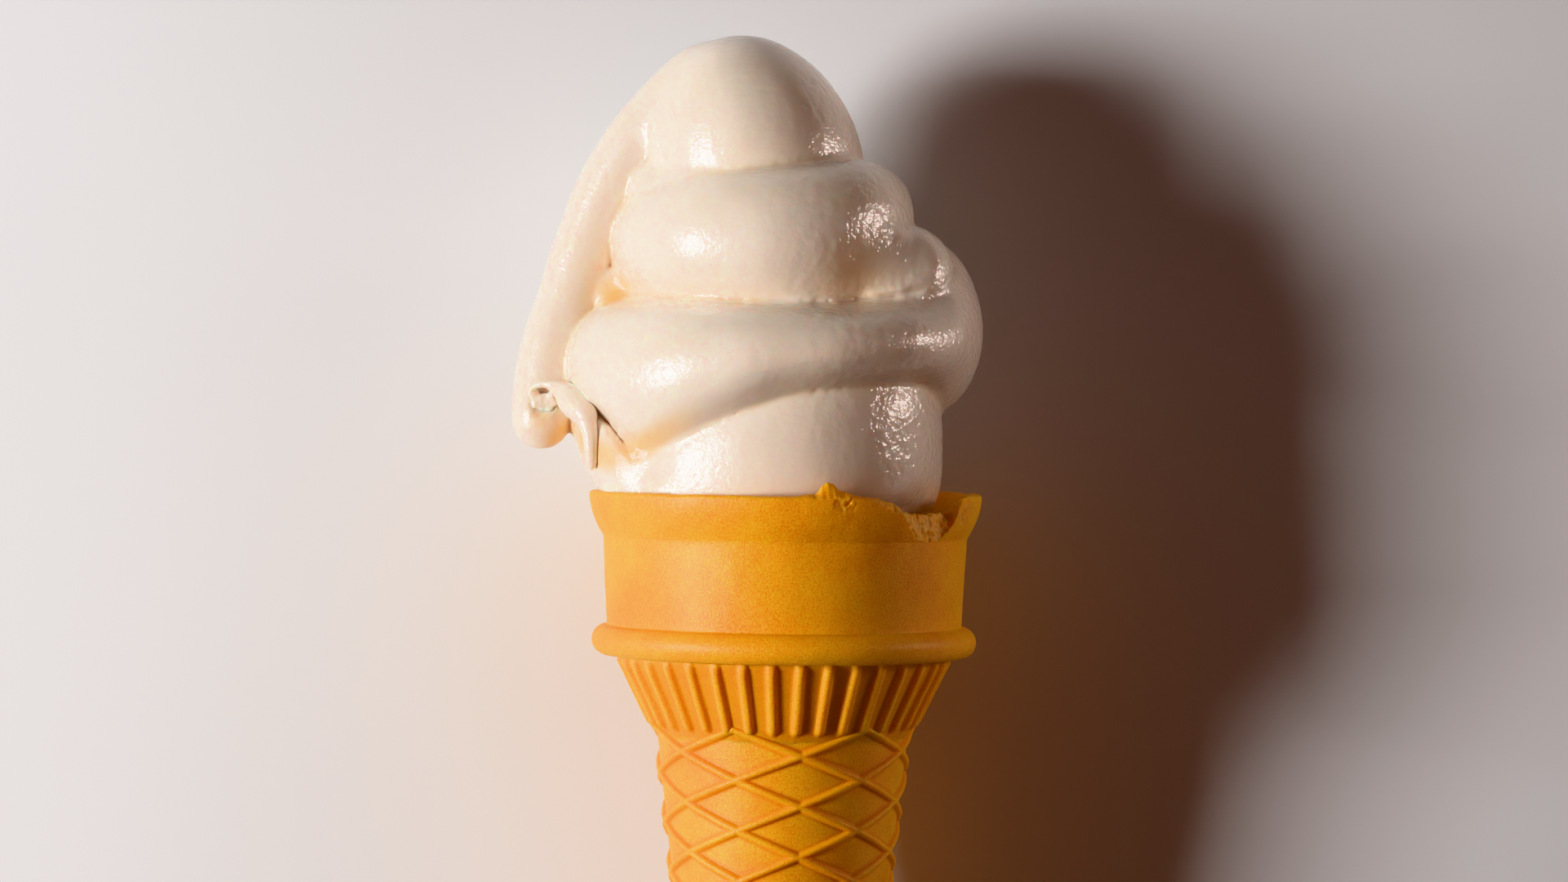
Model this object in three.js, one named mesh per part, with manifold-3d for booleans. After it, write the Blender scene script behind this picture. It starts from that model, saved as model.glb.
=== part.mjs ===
// Soft serve ice cream in a moulded wafer cone, laid on its side.
//
// Two solids: the wafer cone, a thin-walled shell with a flared lip, a bead, a ribbed shoulder and a
// diamond lattice, and the ice cream that fills it and stands over its rim as one piped, winding rope
// whose last pull has flopped over and curled up.
//
// Everything is shaped upright first, in millimetres: the cone's axis is Z, heights are counted up from
// the rim, and an angle of 0 faces -Y, the shown side, with angles growing towards +X. The whole is then
// laid on its back, so that the shown side faces up and the top of the ice cream points along +Y.
import * as THREE from 'three';
import { mergeVertices } from 'three/addons/utils/BufferGeometryUtils.js';
import Module from 'manifold-3d';

const wasm = await Module();
wasm.setup();

// ---------------------------------------------------------------- driving dimensions, in millimetres

const RIM_RADIUS = 26;
const CONE_LENGTH = 105;
const GAP = 0.3; // kept between the wafer and the ice cream
const CLEAR = 1; // how far a cut reaches past a face that it opens

// Lip: a small bowl that flares out over the band.
const LIP_HEIGHT = 6;
const LIP_ROUNDING = 0.5;
const LIP_FLARE_POWER = 1.8;
const LIP_ROWS = 4;
const LIP_THINNING = 0.3; // the wall is this much thinner at the rim
const LIP_FOOT = -6.6; // where the inside of the lip meets that of the band
const LIP_BEND = [0.5, 2]; // a step in from the rim's inside, and down, where the lip's inside bends

// Band: the plain wall between the lip and the bead.
const BAND_TOP_RADIUS = 24.1;
const BAND_BOTTOM_RADIUS = 23.5;
const BEAD_HEIGHT = -19.7;
const BEAD_CENTRE_RADIUS = 23.5;
const BEAD_RADIUS = 2;
const BEAD_STEPS = 4;
const BEAD_CREASE = 0.1; // height of the slope from the bead to the band
const CUP_FLOOR = -22.7; // hidden in the shoulder
const CUP_FLOOR_RADIUS = 21.9;
const CUP_SIDES = 60;

// The cone lies on its rim and its bead, and its axis falls by this angle from the level of the rim.
const REST_TILT = Math.atan2(
  RIM_RADIUS - BEAD_CENTRE_RADIUS - BEAD_RADIUS,
  -LIP_ROUNDING - BEAD_HEIGHT,
);

// Ribbed shoulder.
const SHOULDER_TOP = -20;
const SHOULDER_BOTTOM = -32.2;
const SHOULDER_TOP_RADIUS = 22.6;
const SHOULDER_BOTTOM_RADIUS = 16.5;
const RIB_COUNT = 36;
const RIB_RISE = 0.8;
const RIB_PHASE = 5.8; // degrees
const RIB_VALLEY = 0.1; // share of the rise that is left between two ribs
// A rib's rounded foot: height over the shoulder's bottom, and the share of the rise there.
const RIB_FOOT = [[1, 1], [0.35, 0.75], [0, -0.4]];

// Lattice body.
const LATTICE_TOP = -27.2; // hidden in the shoulder
const LATTICE_RADIUS = 16.6; // at the foot of the shoulder
const TAPER = 0.118; // radius lost for each millimetre of length
const DIAMOND_COLUMNS = 12; // half diamonds round the cone
const DIAMOND_HALF_HEIGHT = 3.3;
const DIAMOND_ROWS = 21;
const DIAMOND_PHASE = 8.5; // degrees
const RIDGE_RISE = 0.5;
const RIDGE_SHARE = 0.2; // of a half diamond that a ridge's slope takes

// Tip and cavity.
const TIP_SIDES = 36;
const TIP_ROUNDING = 2.2;
const TIP_STEPS = 3;
const TIP_COLLAR = 0.5;
const TIP_COLLAR_HEIGHT = 1.2;
const TIP_COLLAR_SLOPE = 0.6;
const CAVITY_SIDES = 48;
const CAVITY_FLOOR = -100;
const CAVITY_BEND = -33.2; // where the cavity widens, a little below the shoulder
const WALL = 2.2;

// Broken stretch of the lip, on the shown side's right: the angle in degrees, and how far below the rim
// the break's outer edge is there. Its inner edge is less deep.
const BREAK = [
  [18, 0], [25, 0.8], [30, 1.8], [35, 2.5], [39.5, 4.2],
  [44.5, 5.7], [54, 5.7], [59.3, 3.6], [62, 0.2], [63.5, 0],
];
const BREAK_STEPS = 22;
const BREAK_JAG = 0.25;
const BREAK_INNER_SHARE = 0.37;
const BREAK_LEAST = 0.02; // depth that is left where the break runs out
const BREAK_REACH = [5, 1]; // how far the cut reaches inside and outside of the rim's radius

// A flake that stands up from the rim beside the break: angle in degrees, and height.
const FLAKE = [[4, -0.3], [9, 0.9], [11.7, 2], [15, 1.4], [19, -0.3]];
const FLAKE_STEPS = 8;
const FLAKE_FOOT = -1; // sunk in the lip
const FLAKE_INSIDE = 24.2;
const FLAKE_OUTSIDE = 25.2;

// ---------------------------------------------------------------- helpers

const radians = THREE.MathUtils.degToRad;

// A point at an angle, distance from the axis and height.
function polar(angle, radius, height) {
  return new THREE.Vector3(radius * Math.sin(angle), -radius * Math.cos(angle), height);
}

// The closed solid of a three.js geometry.
function solid(geometry) {
  const bare = new THREE.BufferGeometry();
  bare.setAttribute('position', geometry.getAttribute('position'));
  bare.setIndex(geometry.getIndex());
  const welded = mergeVertices(bare, 1e-4);
  const corners = welded.getIndex().array;
  const faces = [];
  for (let i = 0; i < corners.length; i += 3) {
    const [a, b, c] = corners.slice(i, i + 3);
    if (a !== b && b !== c && c !== a) faces.push(a, b, c);
  }
  const mesh = new wasm.Mesh({
    numProp: 3,
    vertProperties: welded.getAttribute('position').array,
    triVerts: new Uint32Array(faces),
  });
  return new wasm.Manifold(mesh);
}

function geometryOf(manifold) {
  const mesh = manifold.getMesh();
  const geometry = new THREE.BufferGeometry();
  geometry.setAttribute('position', new THREE.BufferAttribute(mesh.vertProperties, 3));
  geometry.setIndex(new THREE.BufferAttribute(mesh.triVerts, 1));
  geometry.computeVertexNormals();
  return geometry;
}

function join(pieces) {
  return pieces.reduce((whole, piece) => whole.add(piece));
}

// A body of revolution about Z from [radius, height] pairs that run upwards.
function turned(profile, sides) {
  const points = profile.map(([radius, height]) => new THREE.Vector2(radius, height));
  return new THREE.LatheGeometry(points, sides).rotateX(Math.PI / 2);
}

// A box or cylinder whose every vertex is moved by place(x, y, z).
function reshaped(geometry, place) {
  const position = geometry.getAttribute('position');
  for (let i = 0; i < position.count; i++) {
    const moved = place(position.getX(i), position.getY(i), position.getZ(i));
    position.setXYZ(i, moved.x, moved.y, moved.z);
  }
  return geometry;
}

// Smooth value through keys that start with where they stand: a cubic on each stretch, whose slope at a
// key is that of the line between its neighbours.
function smoothValue(keys, place, at) {
  const last = keys.length - 1;
  let i = keys.findIndex((key) => key[0] > at) - 1;
  if (i < 0) i = at < keys[0][0] ? 0 : last - 1;
  const slope = (k) => {
    const [before, after] = [keys[Math.max(k - 1, 0)], keys[Math.min(k + 1, last)]];
    return (after[place] - before[place]) / (after[0] - before[0]);
  };
  const [from, to] = [keys[i], keys[i + 1]];
  const span = to[0] - from[0];
  const share = (at - from[0]) / span;
  const square = share * share;
  const cube = square * share;
  return from[place] + (to[place] - from[place]) * (3 * square - 2 * cube)
    + span * (slope(i) * (cube - 2 * square + share) + slope(i + 1) * (cube - square));
}

// ---------------------------------------------------------------- wafer cone

// Outside radius of the lip at a height.
function lipRadius(height) {
  const below = Math.max(0, (-height - LIP_ROUNDING) / (LIP_HEIGHT - LIP_ROUNDING));
  return RIM_RADIUS - (RIM_RADIUS - BAND_TOP_RADIUS) * below ** LIP_FLARE_POWER;
}

function cup() {
  const profile = [[0, CUP_FLOOR], [CUP_FLOOR_RADIUS, CUP_FLOOR]];
  for (let i = 0; i <= BEAD_STEPS; i++) {
    const angle = Math.PI * (i / BEAD_STEPS - 0.5);
    profile.push([
      BEAD_CENTRE_RADIUS + BEAD_RADIUS * Math.cos(angle),
      BEAD_HEIGHT + BEAD_RADIUS * Math.sin(angle),
    ]);
  }
  profile.push([BAND_BOTTOM_RADIUS, BEAD_HEIGHT + BEAD_RADIUS + BEAD_CREASE]);
  for (let i = 0; i <= LIP_ROWS; i++) {
    const height = -LIP_HEIGHT + (LIP_HEIGHT - LIP_ROUNDING) * (i / LIP_ROWS);
    profile.push([lipRadius(height), height]);
  }
  profile.push([RIM_RADIUS - LIP_ROUNDING, 0], [0, 0]);
  return solid(turned(profile, CUP_SIDES));
}

// Shoulder with rounded ribs: four vertices to a rib, and a foot that runs out over the lattice.
function shoulder() {
  const rows = [[SHOULDER_TOP, 1]];
  RIB_FOOT.forEach(([above, rise]) => rows.push([SHOULDER_BOTTOM + above, rise]));
  const slope = (SHOULDER_TOP_RADIUS - SHOULDER_BOTTOM_RADIUS) / (SHOULDER_TOP - SHOULDER_BOTTOM);
  const geometry = new THREE.CylinderGeometry(1, 1, 1, RIB_COUNT * 4, rows.length - 1);
  return solid(reshaped(geometry, (x, y, z) => {
    const [height, rise] = rows[Math.round((0.5 - y) * (rows.length - 1))];
    if (Math.hypot(x, z) < 0.5) return new THREE.Vector3(0, 0, height);
    const angle = Math.atan2(x, z);
    const crest = Math.cos(RIB_COUNT * angle);
    const radius = SHOULDER_BOTTOM_RADIUS + slope * (height - SHOULDER_BOTTOM)
      + RIB_RISE * Math.max(RIB_VALLEY, crest) * rise;
    return polar(angle + radians(RIB_PHASE), radius, height);
  }));
}

function latticeRadius(height) {
  return LATTICE_RADIUS + TAPER * (height - SHOULDER_BOTTOM);
}

// Lattice body: diamonds with a sunk face, whose raised edges meet those of their neighbours.
function lattice() {
  const halfWidth = (2 * Math.PI) / DIAMOND_COLUMNS;
  const corners = [[-1, 0], [-0.5, 0.5], [0, 1], [0.5, 0.5], [1, 0], [0.5, -0.5], [0, -1], [-0.5, -0.5]];
  const face = [[0, 7, 1], [1, 7, 6], [1, 6, 2], [2, 6, 5], [2, 5, 3], [3, 5, 4]];
  const positions = [];
  const triangle = (...points) => points.forEach((point) => positions.push(...point.toArray()));
  const lowest = LATTICE_TOP - (DIAMOND_ROWS + 1) * DIAMOND_HALF_HEIGHT;
  const top = new THREE.Vector3(0, 0, LATTICE_TOP);
  const bottom = new THREE.Vector3(0, 0, lowest);
  for (let row = 1; row <= DIAMOND_ROWS; row++) {
    for (let column = (row + 1) % 2; column < DIAMOND_COLUMNS; column += 2) {
      const at = (across, up, rise) => {
        const height = LATTICE_TOP + (up - row) * DIAMOND_HALF_HEIGHT;
        const angle = radians(DIAMOND_PHASE) + (column + across) * halfWidth;
        return polar(angle, latticeRadius(height) + rise, height);
      };
      const outer = corners.map(([across, up]) => at(across, up, RIDGE_RISE));
      const inner = corners.map(([across, up]) => at(across * (1 - RIDGE_SHARE), up * (1 - RIDGE_SHARE), 0));
      face.forEach((corner) => triangle(...corner.map((i) => inner[i])));
      corners.forEach((_, i) => {
        const next = (i + 1) % corners.length;
        triangle(outer[i], inner[i], inner[next]);
        triangle(outer[i], inner[next], outer[next]);
        if (row === 1 && i < 4) triangle(outer[i], outer[next], top);
        if (row === DIAMOND_ROWS && i >= 4) triangle(outer[i], outer[next], bottom);
      });
    }
  }
  const geometry = new THREE.BufferGeometry();
  geometry.setAttribute('position', new THREE.Float32BufferAttribute(positions, 3));
  return solid(mergeVertices(geometry, 1e-3));
}

// Plain end below the lattice: a thin collar and a rounded, flat-ended tip.
function tip() {
  const top = LATTICE_TOP - (DIAMOND_ROWS - 1) * DIAMOND_HALF_HEIGHT;
  const endRadius = latticeRadius(-CONE_LENGTH);
  const profile = [[0, -CONE_LENGTH], [endRadius - TIP_ROUNDING, -CONE_LENGTH]];
  for (let i = 1; i <= TIP_STEPS; i++) {
    const angle = (Math.PI / 2) * (i / TIP_STEPS);
    profile.push([
      endRadius - TIP_ROUNDING * (1 - Math.sin(angle)),
      -CONE_LENGTH + TIP_ROUNDING * (1 - Math.cos(angle)),
    ]);
  }
  const collar = top - TIP_COLLAR_HEIGHT;
  profile.push([latticeRadius(collar - TIP_COLLAR_SLOPE), collar - TIP_COLLAR_SLOPE]);
  profile.push([latticeRadius(collar) + TIP_COLLAR, collar]);
  profile.push([latticeRadius(top) + TIP_COLLAR, top], [0, top]);
  return solid(turned(profile, TIP_SIDES));
}

// Inside wall of the cone, as [radius, height] from the floor to the lip; slack makes it smaller.
function insideWall(slack) {
  return [
    [latticeRadius(CAVITY_FLOOR) - WALL - slack, CAVITY_FLOOR + slack],
    [latticeRadius(CAVITY_BEND) - WALL - slack, CAVITY_BEND],
    [BAND_BOTTOM_RADIUS - WALL - slack, BEAD_HEIGHT],
    [BAND_TOP_RADIUS - WALL - slack, LIP_FOOT],
  ];
}

// Inside of the lip, as [radius, height] up to a height at the rim; slack makes it smaller.
function lipInside(slack, top) {
  const radius = RIM_RADIUS - WALL + LIP_THINNING - slack;
  const [inwards, below] = LIP_BEND;
  return [[radius - inwards, -below], [radius, top]];
}

function cavity() {
  return solid(turned(
    [[0, CAVITY_FLOOR], ...insideWall(0), ...lipInside(0, CLEAR), [0, CLEAR]],
    CAVITY_SIDES,
  ));
}

// A curved block on the rim, between two radii. Its upper and lower heights are functions of the angle
// in degrees and of whether the edge is the inner one.
function rimBlock(from, to, steps, inside, outside, upper, lower) {
  const geometry = new THREE.BoxGeometry(1, 1, 1, steps, 1, 1);
  return solid(reshaped(geometry, (x, y, z) => {
    const degrees = from + (to - from) * (x + 0.5);
    const isInner = y > 0;
    const height = z > 0 ? upper(degrees, isInner) : lower(degrees, isInner);
    return polar(radians(degrees), isInner ? inside : outside, height);
  }));
}

function breakCut() {
  const from = BREAK[0][0];
  const to = BREAK[BREAK.length - 1][0];
  const lower = (degrees, isInner) => {
    const jag = BREAK_JAG * Math.sin(1.9 * degrees) * Math.sin(0.7 * degrees);
    const depth = Math.max(BREAK_LEAST, smoothValue(BREAK, 1, degrees) + jag);
    return -depth * (isInner ? BREAK_INNER_SHARE : 1);
  };
  const [inwards, outwards] = BREAK_REACH;
  return rimBlock(from, to, BREAK_STEPS, RIM_RADIUS - inwards, RIM_RADIUS + outwards, () => CLEAR, lower);
}

function flake() {
  const upper = (degrees) => smoothValue(FLAKE, 1, degrees);
  const to = FLAKE[FLAKE.length - 1][0];
  return rimBlock(FLAKE[0][0], to, FLAKE_STEPS, FLAKE_INSIDE, FLAKE_OUTSIDE, upper, () => FLAKE_FOOT);
}

function waferCone() {
  const whole = join([cup(), shoulder(), lattice(), tip()]).subtract(cavity());
  return whole.subtract(breakCut()).add(flake());
}

// ---------------------------------------------------------------- ice cream

// The winding rope. Each key is a section: its turn, counted from the shown side; its height; its reach,
// the furthest it stands from the cone's axis; its half height and half thickness; and its fullness, 2
// for an ellipse and more for squarer shoulders.
const ROPE = [
  [-0.25, -9.0, 22.0, 9.5, 9.0, 2.4],
  [-0.19, -2.5, 23.4, 10.3, 9.0, 2.6],
  [-0.125, 1.8, 23.7, 10.5, 9.0, 2.6],
  [0.00, 5.4, 23.4, 10.5, 9.5, 2.8],
  [0.125, 7.6, 22.6, 10.8, 9.3, 3.0],
  [0.25, 5.6, 20.7, 10.8, 9.0, 3.0],
  [0.375, 7.0, 22.5, 10.5, 9.5, 2.6],
  [0.50, 10.0, 26.6, 10.5, 10.0, 2.4],
  [0.625, 13.0, 28.0, 10.0, 10.5, 2.2],
  [0.75, 16.0, 29.1, 9.7, 10.8, 2.2],
  [0.82, 15.6, 28.9, 9.9, 10.7, 2.1],
  [0.875, 14.3, 28.2, 10.8, 10.5, 2.1],
  [1.00, 18.6, 26.2, 7.0, 10.5, 2.1],
  [1.125, 20.9, 26.0, 7.4, 10.3, 2.1],
  [1.25, 21.7, 25.8, 12.3, 10.0, 2.1],
  [1.375, 24.5, 26.0, 11.5, 10.0, 2.1],
  [1.50, 27.0, 27.8, 10.5, 10.0, 2.1],
  [1.625, 30.0, 25.5, 9.5, 10.5, 2.1],
  [1.75, 32.5, 23.4, 9.3, 11.0, 2.1],
  [1.875, 32.4, 22.2, 9.6, 10.5, 2.1],
  [2.00, 32.7, 20.5, 9.9, 9.0, 2.1],
  [2.125, 34.5, 18.7, 9.2, 8.0, 2.1],
  [2.25, 36.3, 16.5, 7.2, 6.5, 2.1],
  [2.375, 36.0, 16.5, 7.0, 7.0, 2.1],
  [2.50, 36.5, 17.5, 7.0, 8.0, 2.1],
  [2.75, 37.0, 21.0, 5.5, 7.0, 2.1],
  [3.00, 42.0, 12.0, 6.0, 6.0, 2.1],
];
// A shorter fold of rope under the left of the winding, in the same terms.
const COLLAR = [
  [-0.45, 2.0, 24.0, 8.0, 8.0, 2.1],
  [-0.34, 7.0, 27.0, 9.5, 9.0, 2.1],
  [-0.25, 9.3, 28.8, 10.0, 9.0, 2.1],
  [-0.21, 6.9, 28.4, 9.6, 9.0, 2.1],
  [-0.17, 2.4, 27.6, 9.0, 8.2, 2.1],
  [-0.13, -5.0, 24.0, 7.0, 7.0, 2.1],
  [-0.10, -10.0, 21.0, 5.0, 6.0, 2.1],
];
const ROPE_SIDES = 15;
const ROPE_STEPS = 30; // to a turn
const ROPE_LENGTH = 0.5; // of a turn
const ROPE_LAP = 0.02; // of a turn, by which one length runs into the one before
const ROPE_DRAWN = 0.9; // size of a length's first section, which lies inside the one before

// The dome over the last turn, which leans to the left as it rises.
const DOME_CENTRE = [-4.3, 0, 43.6];
const DOME_RADII = [14.3, 14, 16.8];
const DOME_LEAN = 0.14;
const DOME_FACES = [32, 18];

// The last pull of rope, drawn off the dome and fallen down the left side to a blunt end. Each key is x, y
// and z, and the radius there.
const PULL = [
  [-5.0, 0.0, 49.5, 10.0],
  [-7.8, 0.0, 53.1, 7.3],
  [-11.3, 0.3, 53.9, 5.5],
  [-15.2, 0.8, 51.0, 5.1],
  [-20.2, 1.4, 45.9, 4.6],
  [-24.1, 1.9, 39.8, 4.35],
  [-27.1, 2.2, 32.1, 4.25],
  [-29.2, 2.0, 25.6, 4.15],
  [-31.2, 1.4, 19.2, 4.1],
  [-32.3, 0.6, 13.0, 4.05],
  [-32.5, -0.4, 8.9, 3.95],
  [-32.5, -0.6, 6.9, 3.2],
  [-32.5, -0.7, 5.7, 1.9],
  [-32.5, -0.7, 5.3, 0.6],
];
const PULL_SIDES = 14;
const PULL_STEPS = 39;
// The hook that its torn end makes: a thin hood that widens to a tongue and hangs down.
const HOOK = [
  [-34.0, -2.8, 10.9, 1.2],
  [-33.6, -3.8, 12.4, 1.2],
  [-32.6, -4.5, 13.0, 1.2],
  [-31.4, -5.0, 12.9, 1.4],
  [-30.1, -5.6, 12.4, 1.8],
  [-28.8, -6.7, 11.8, 2.1],
  [-27.5, -8.1, 11.2, 2.1],
  [-26.6, -9.4, 10.1, 1.7],
  [-26.1, -10.2, 8.7, 1.35],
  [-25.8, -10.5, 7.2, 1.2],
  [-25.7, -10.3, 5.4, 1.05],
  [-25.7, -9.8, 3.7, 0.85],
  [-25.6, -9.6, 2.9, 0.4],
];
const HOOK_SIDES = 9;
const HOOK_STEPS = 30;

// A swell of rope that fills the fold between two turns on the shown side's right.
const SWELL_CENTRE = [13.5, -6, 28.5];
const SWELL_RADIUS = 7;
const SWELL_FACES = [18, 12];

// Rope behind the gap between the pull and the winding: x, y and z of the middle, and the radius.
const BACKING = [
  [-20.5, 5.5, 27.5, 5.5],
  [-22.0, 5.5, 20.5, 5.5],
  [-17.5, 4.5, 35.5, 5.0],
  [-16.3, -1.5, 39.0, 5.0],
];
const BACKING_FACES = [12, 8];

// Core that fills the middle of the winding, as [radius, height].
const CORE = [[0, -9], [19.5, -9], [19.5, 0], [15, 8], [15, 24], [10, 36], [5, 46], [0, 46]];
const CORE_SIDES = 32;
const PLUG_TOP = -8; // inside the core

// The surface that the cone lies on: the width and the thickness of the block that stands for it.
const SURFACE_WIDTH = 120;
const SURFACE_THICKNESS = 20;
const SPREAD = 10; // how far past the rim the ice cream is kept above it

function superellipse(x, z, fullness) {
  const bend = (v) => Math.sign(v) * Math.abs(v) ** (2 / fullness);
  return [bend(x), bend(z)];
}

// One length of rope between two turns. Its first section is drawn in, to lie inside the length before.
function ropeLength(keys, from, to) {
  const steps = Math.round((to - from) * ROPE_STEPS) + 1;
  const geometry = new THREE.CylinderGeometry(1, 1, 1, ROPE_SIDES, steps);
  return solid(reshaped(geometry, (x, y, z) => {
    const step = Math.round((y + 0.5) * steps);
    const turn = step === 0 ? from - ROPE_LAP : from + (step - 1) / ROPE_STEPS;
    const drawn = step === 0 ? ROPE_DRAWN : 1;
    const [height, reach, halfHeight, halfThickness, fullness] = [1, 2, 3, 4, 5].map(
      (place) => smoothValue(keys, place, turn),
    );
    const [across, up] = superellipse(x, z, fullness);
    return polar(
      turn * 2 * Math.PI,
      reach - halfThickness + halfThickness * drawn * across,
      height + halfHeight * drawn * up,
    );
  }));
}

function winding() {
  const lengths = [];
  const end = (keys) => keys[keys.length - 1][0];
  for (let from = ROPE[0][0]; from < end(ROPE); from += ROPE_LENGTH) {
    lengths.push(ropeLength(ROPE, from, Math.min(from + ROPE_LENGTH, end(ROPE))));
  }
  return join([...lengths, ropeLength(COLLAR, COLLAR[0][0], end(COLLAR))]);
}

function dome() {
  const geometry = new THREE.SphereGeometry(1, ...DOME_FACES).rotateX(Math.PI / 2);
  const [x, y, z] = DOME_CENTRE;
  geometry.scale(...DOME_RADII);
  const leaning = (across, away, up) => new THREE.Vector3(x + across - DOME_LEAN * up, y + away, z + up);
  return solid(reshaped(geometry, leaning));
}

function swell() {
  return solid(new THREE.SphereGeometry(SWELL_RADIUS, ...SWELL_FACES).translate(...SWELL_CENTRE));
}

function backing() {
  return join(BACKING.map(([x, y, z, radius]) => {
    const geometry = new THREE.SphereGeometry(radius, ...BACKING_FACES);
    return solid(geometry.translate(x, y, z));
  }));
}

// A rope along a smooth curve through its keys.
function rope(keys, sides, steps) {
  const path = new THREE.CatmullRomCurve3(keys.map(([x, y, z]) => new THREE.Vector3(x, y, z)));
  const radii = keys.map((key, i) => [i / (keys.length - 1), key[3]]);
  const sections = sectionsAlong(path, steps);
  const geometry = new THREE.CylinderGeometry(1, 1, 1, sides, steps);
  return solid(reshaped(geometry, (x, y, z) => {
    const share = y + 0.5;
    const radius = smoothValue(radii, 1, share);
    const { middle, across, up } = sections[Math.round(share * steps)];
    return middle.clone().addScaledVector(across, radius * x).addScaledVector(up, radius * z);
  }));
}

// Middles and directions of a rope's sections, each turned as little as it can be from the one before.
function sectionsAlong(path, steps) {
  const sections = [];
  let across = new THREE.Vector3(0, 1, 0);
  for (let i = 0; i <= steps; i++) {
    const along = path.getTangent(i / steps);
    across = across.clone().addScaledVector(along, -across.dot(along)).normalize();
    sections.push({ middle: path.getPoint(i / steps), across, up: across.clone().cross(along) });
  }
  return sections;
}

// What the ice cream is cut back from: the wafer's lip and wall, and the surface that it lies on.
function keepOut() {
  const wall = insideWall(GAP).slice(2);
  const outside = RIM_RADIUS + SPREAD;
  const ring = [...wall, ...lipInside(GAP, GAP), [outside, GAP], [outside, BEAD_HEIGHT], wall[0]];
  const lipRing = solid(turned(ring.reverse(), CUP_SIDES));
  const surface = new THREE.BoxGeometry(SURFACE_WIDTH, SURFACE_THICKNESS, SURFACE_WIDTH);
  surface.translate(0, SURFACE_THICKNESS / 2, SURFACE_WIDTH / 2).rotateX(-REST_TILT);
  return join([lipRing, solid(surface.translate(0, RIM_RADIUS, -LIP_ROUNDING))]);
}

// Ice cream inside the cone, a little smaller than its cavity.
function plug() {
  const wall = insideWall(GAP);
  const [topRadius] = wall.pop();
  return solid(turned(
    [[0, CAVITY_FLOOR + GAP], ...wall, [topRadius, PLUG_TOP], [0, PLUG_TOP]],
    CAVITY_SIDES,
  ));
}

function softServe() {
  const core = solid(turned(CORE, CORE_SIDES));
  const pull = join([rope(PULL, PULL_SIDES, PULL_STEPS), rope(HOOK, HOOK_SIDES, HOOK_STEPS)]);
  return join([winding(), swell(), backing(), dome(), pull, core]).subtract(keepOut()).add(plug());
}

// ---------------------------------------------------------------- the object

function node(name, manifold, color, roughness) {
  const material = new THREE.MeshStandardMaterial({ color, roughness, metalness: 0 });
  const mesh = new THREE.Mesh(geometryOf(manifold), material);
  mesh.name = name;
  return mesh;
}

const softServeCone = new THREE.Group();
softServeCone.add(node('wafer_cone', waferCone(), 0xd9973f, 0.75));
softServeCone.add(node('soft_serve', softServe(), 0xf3e9da, 0.4));

// Laid on its back, with the middle of its box over the origin and its lowest face at height 0.
softServeCone.rotation.x = REST_TILT - Math.PI / 2;
const box = new THREE.Box3().setFromObject(softServeCone, true);
softServeCone.position.set(-(box.min.x + box.max.x) / 2, -(box.min.y + box.max.y) / 2, -box.min.z);

const part = new THREE.Group();
part.add(softServeCone);

export default part;
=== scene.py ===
"""Soft serve cone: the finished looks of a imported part, modelled around its fixed frame.

The wafer cone and the ice cream are shaped upright, in millimetres: the cone's axis is Z, heights count up
from the rim, and an angle of 0 faces -Y, the shown side, and grows towards +X. Each mesh is then laid on
its back, where the frame has the cone.
"""

import bisect
import math

import bmesh
import bpy
from mathutils import Matrix, Vector, noise


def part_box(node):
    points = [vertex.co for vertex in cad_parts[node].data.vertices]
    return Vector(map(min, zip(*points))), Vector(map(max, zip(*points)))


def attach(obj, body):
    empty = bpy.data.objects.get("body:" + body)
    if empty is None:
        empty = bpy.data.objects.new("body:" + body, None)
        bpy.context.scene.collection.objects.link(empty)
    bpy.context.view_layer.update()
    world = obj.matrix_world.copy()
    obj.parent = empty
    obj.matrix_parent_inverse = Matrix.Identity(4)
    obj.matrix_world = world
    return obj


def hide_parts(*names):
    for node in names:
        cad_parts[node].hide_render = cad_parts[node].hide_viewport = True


bl_info = {
    "name": "Soft Serve Cone",
    "version": (1, 0, 0),
    "blender": (4, 5, 0),
    "location": "View3D > Sidebar > Soft Serve",
    "description": "Models a soft serve ice cream in a moulded wafer cone that lies on its side",
    "category": "Add Mesh",
}

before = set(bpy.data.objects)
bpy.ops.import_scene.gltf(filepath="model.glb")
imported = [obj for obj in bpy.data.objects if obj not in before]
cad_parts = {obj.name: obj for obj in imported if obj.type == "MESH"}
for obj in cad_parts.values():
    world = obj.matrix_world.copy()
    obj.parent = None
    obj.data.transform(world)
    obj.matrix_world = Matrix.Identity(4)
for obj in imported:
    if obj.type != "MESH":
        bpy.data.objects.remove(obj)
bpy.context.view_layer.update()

WAFER = "wafer_cone"
ICE_CREAM = "soft_serve"
ROOT = "root"

MM = 0.001
# Columns of the lip's mesh and of the tip's.
LIP_SIDES = 432
TIP_SIDES = 240
# Heights closer than this are the same.
CLOSE = 0.01

# ---------- wafer, in millimetres and degrees

RIM_RADIUS = 26.0
CONE_LENGTH = 105.0
WALL = 2.2
GAP = 0.3
# The ice cream sinks this far into the rim's unevenness.
RIM_CONTACT = 0.08

LIP_HEIGHT = 6.0
LIP_ROUNDING = 0.5
LIP_FLARE_POWER = 1.8
LIP_THINNING = 0.3
# How far below the rim its thinning and its break reach.
LIP_ZONE = 6.6
RIM_STEPS = 14
# The rim's waviness, in layers of a size and a fineness, and how far it sinks the rim.
RIM_WAVINESS = ((0.13, 0.2),)
RIM_SINK = 0.05

BAND_TOP_RADIUS = 24.1
BAND_BOTTOM_RADIUS = 23.5
BAND_BOTTOM = -17.5
BEAD_HEIGHT = -19.7
BEAD_CENTRE_RADIUS = 23.5
BEAD_RADIUS = 2.0
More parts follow.
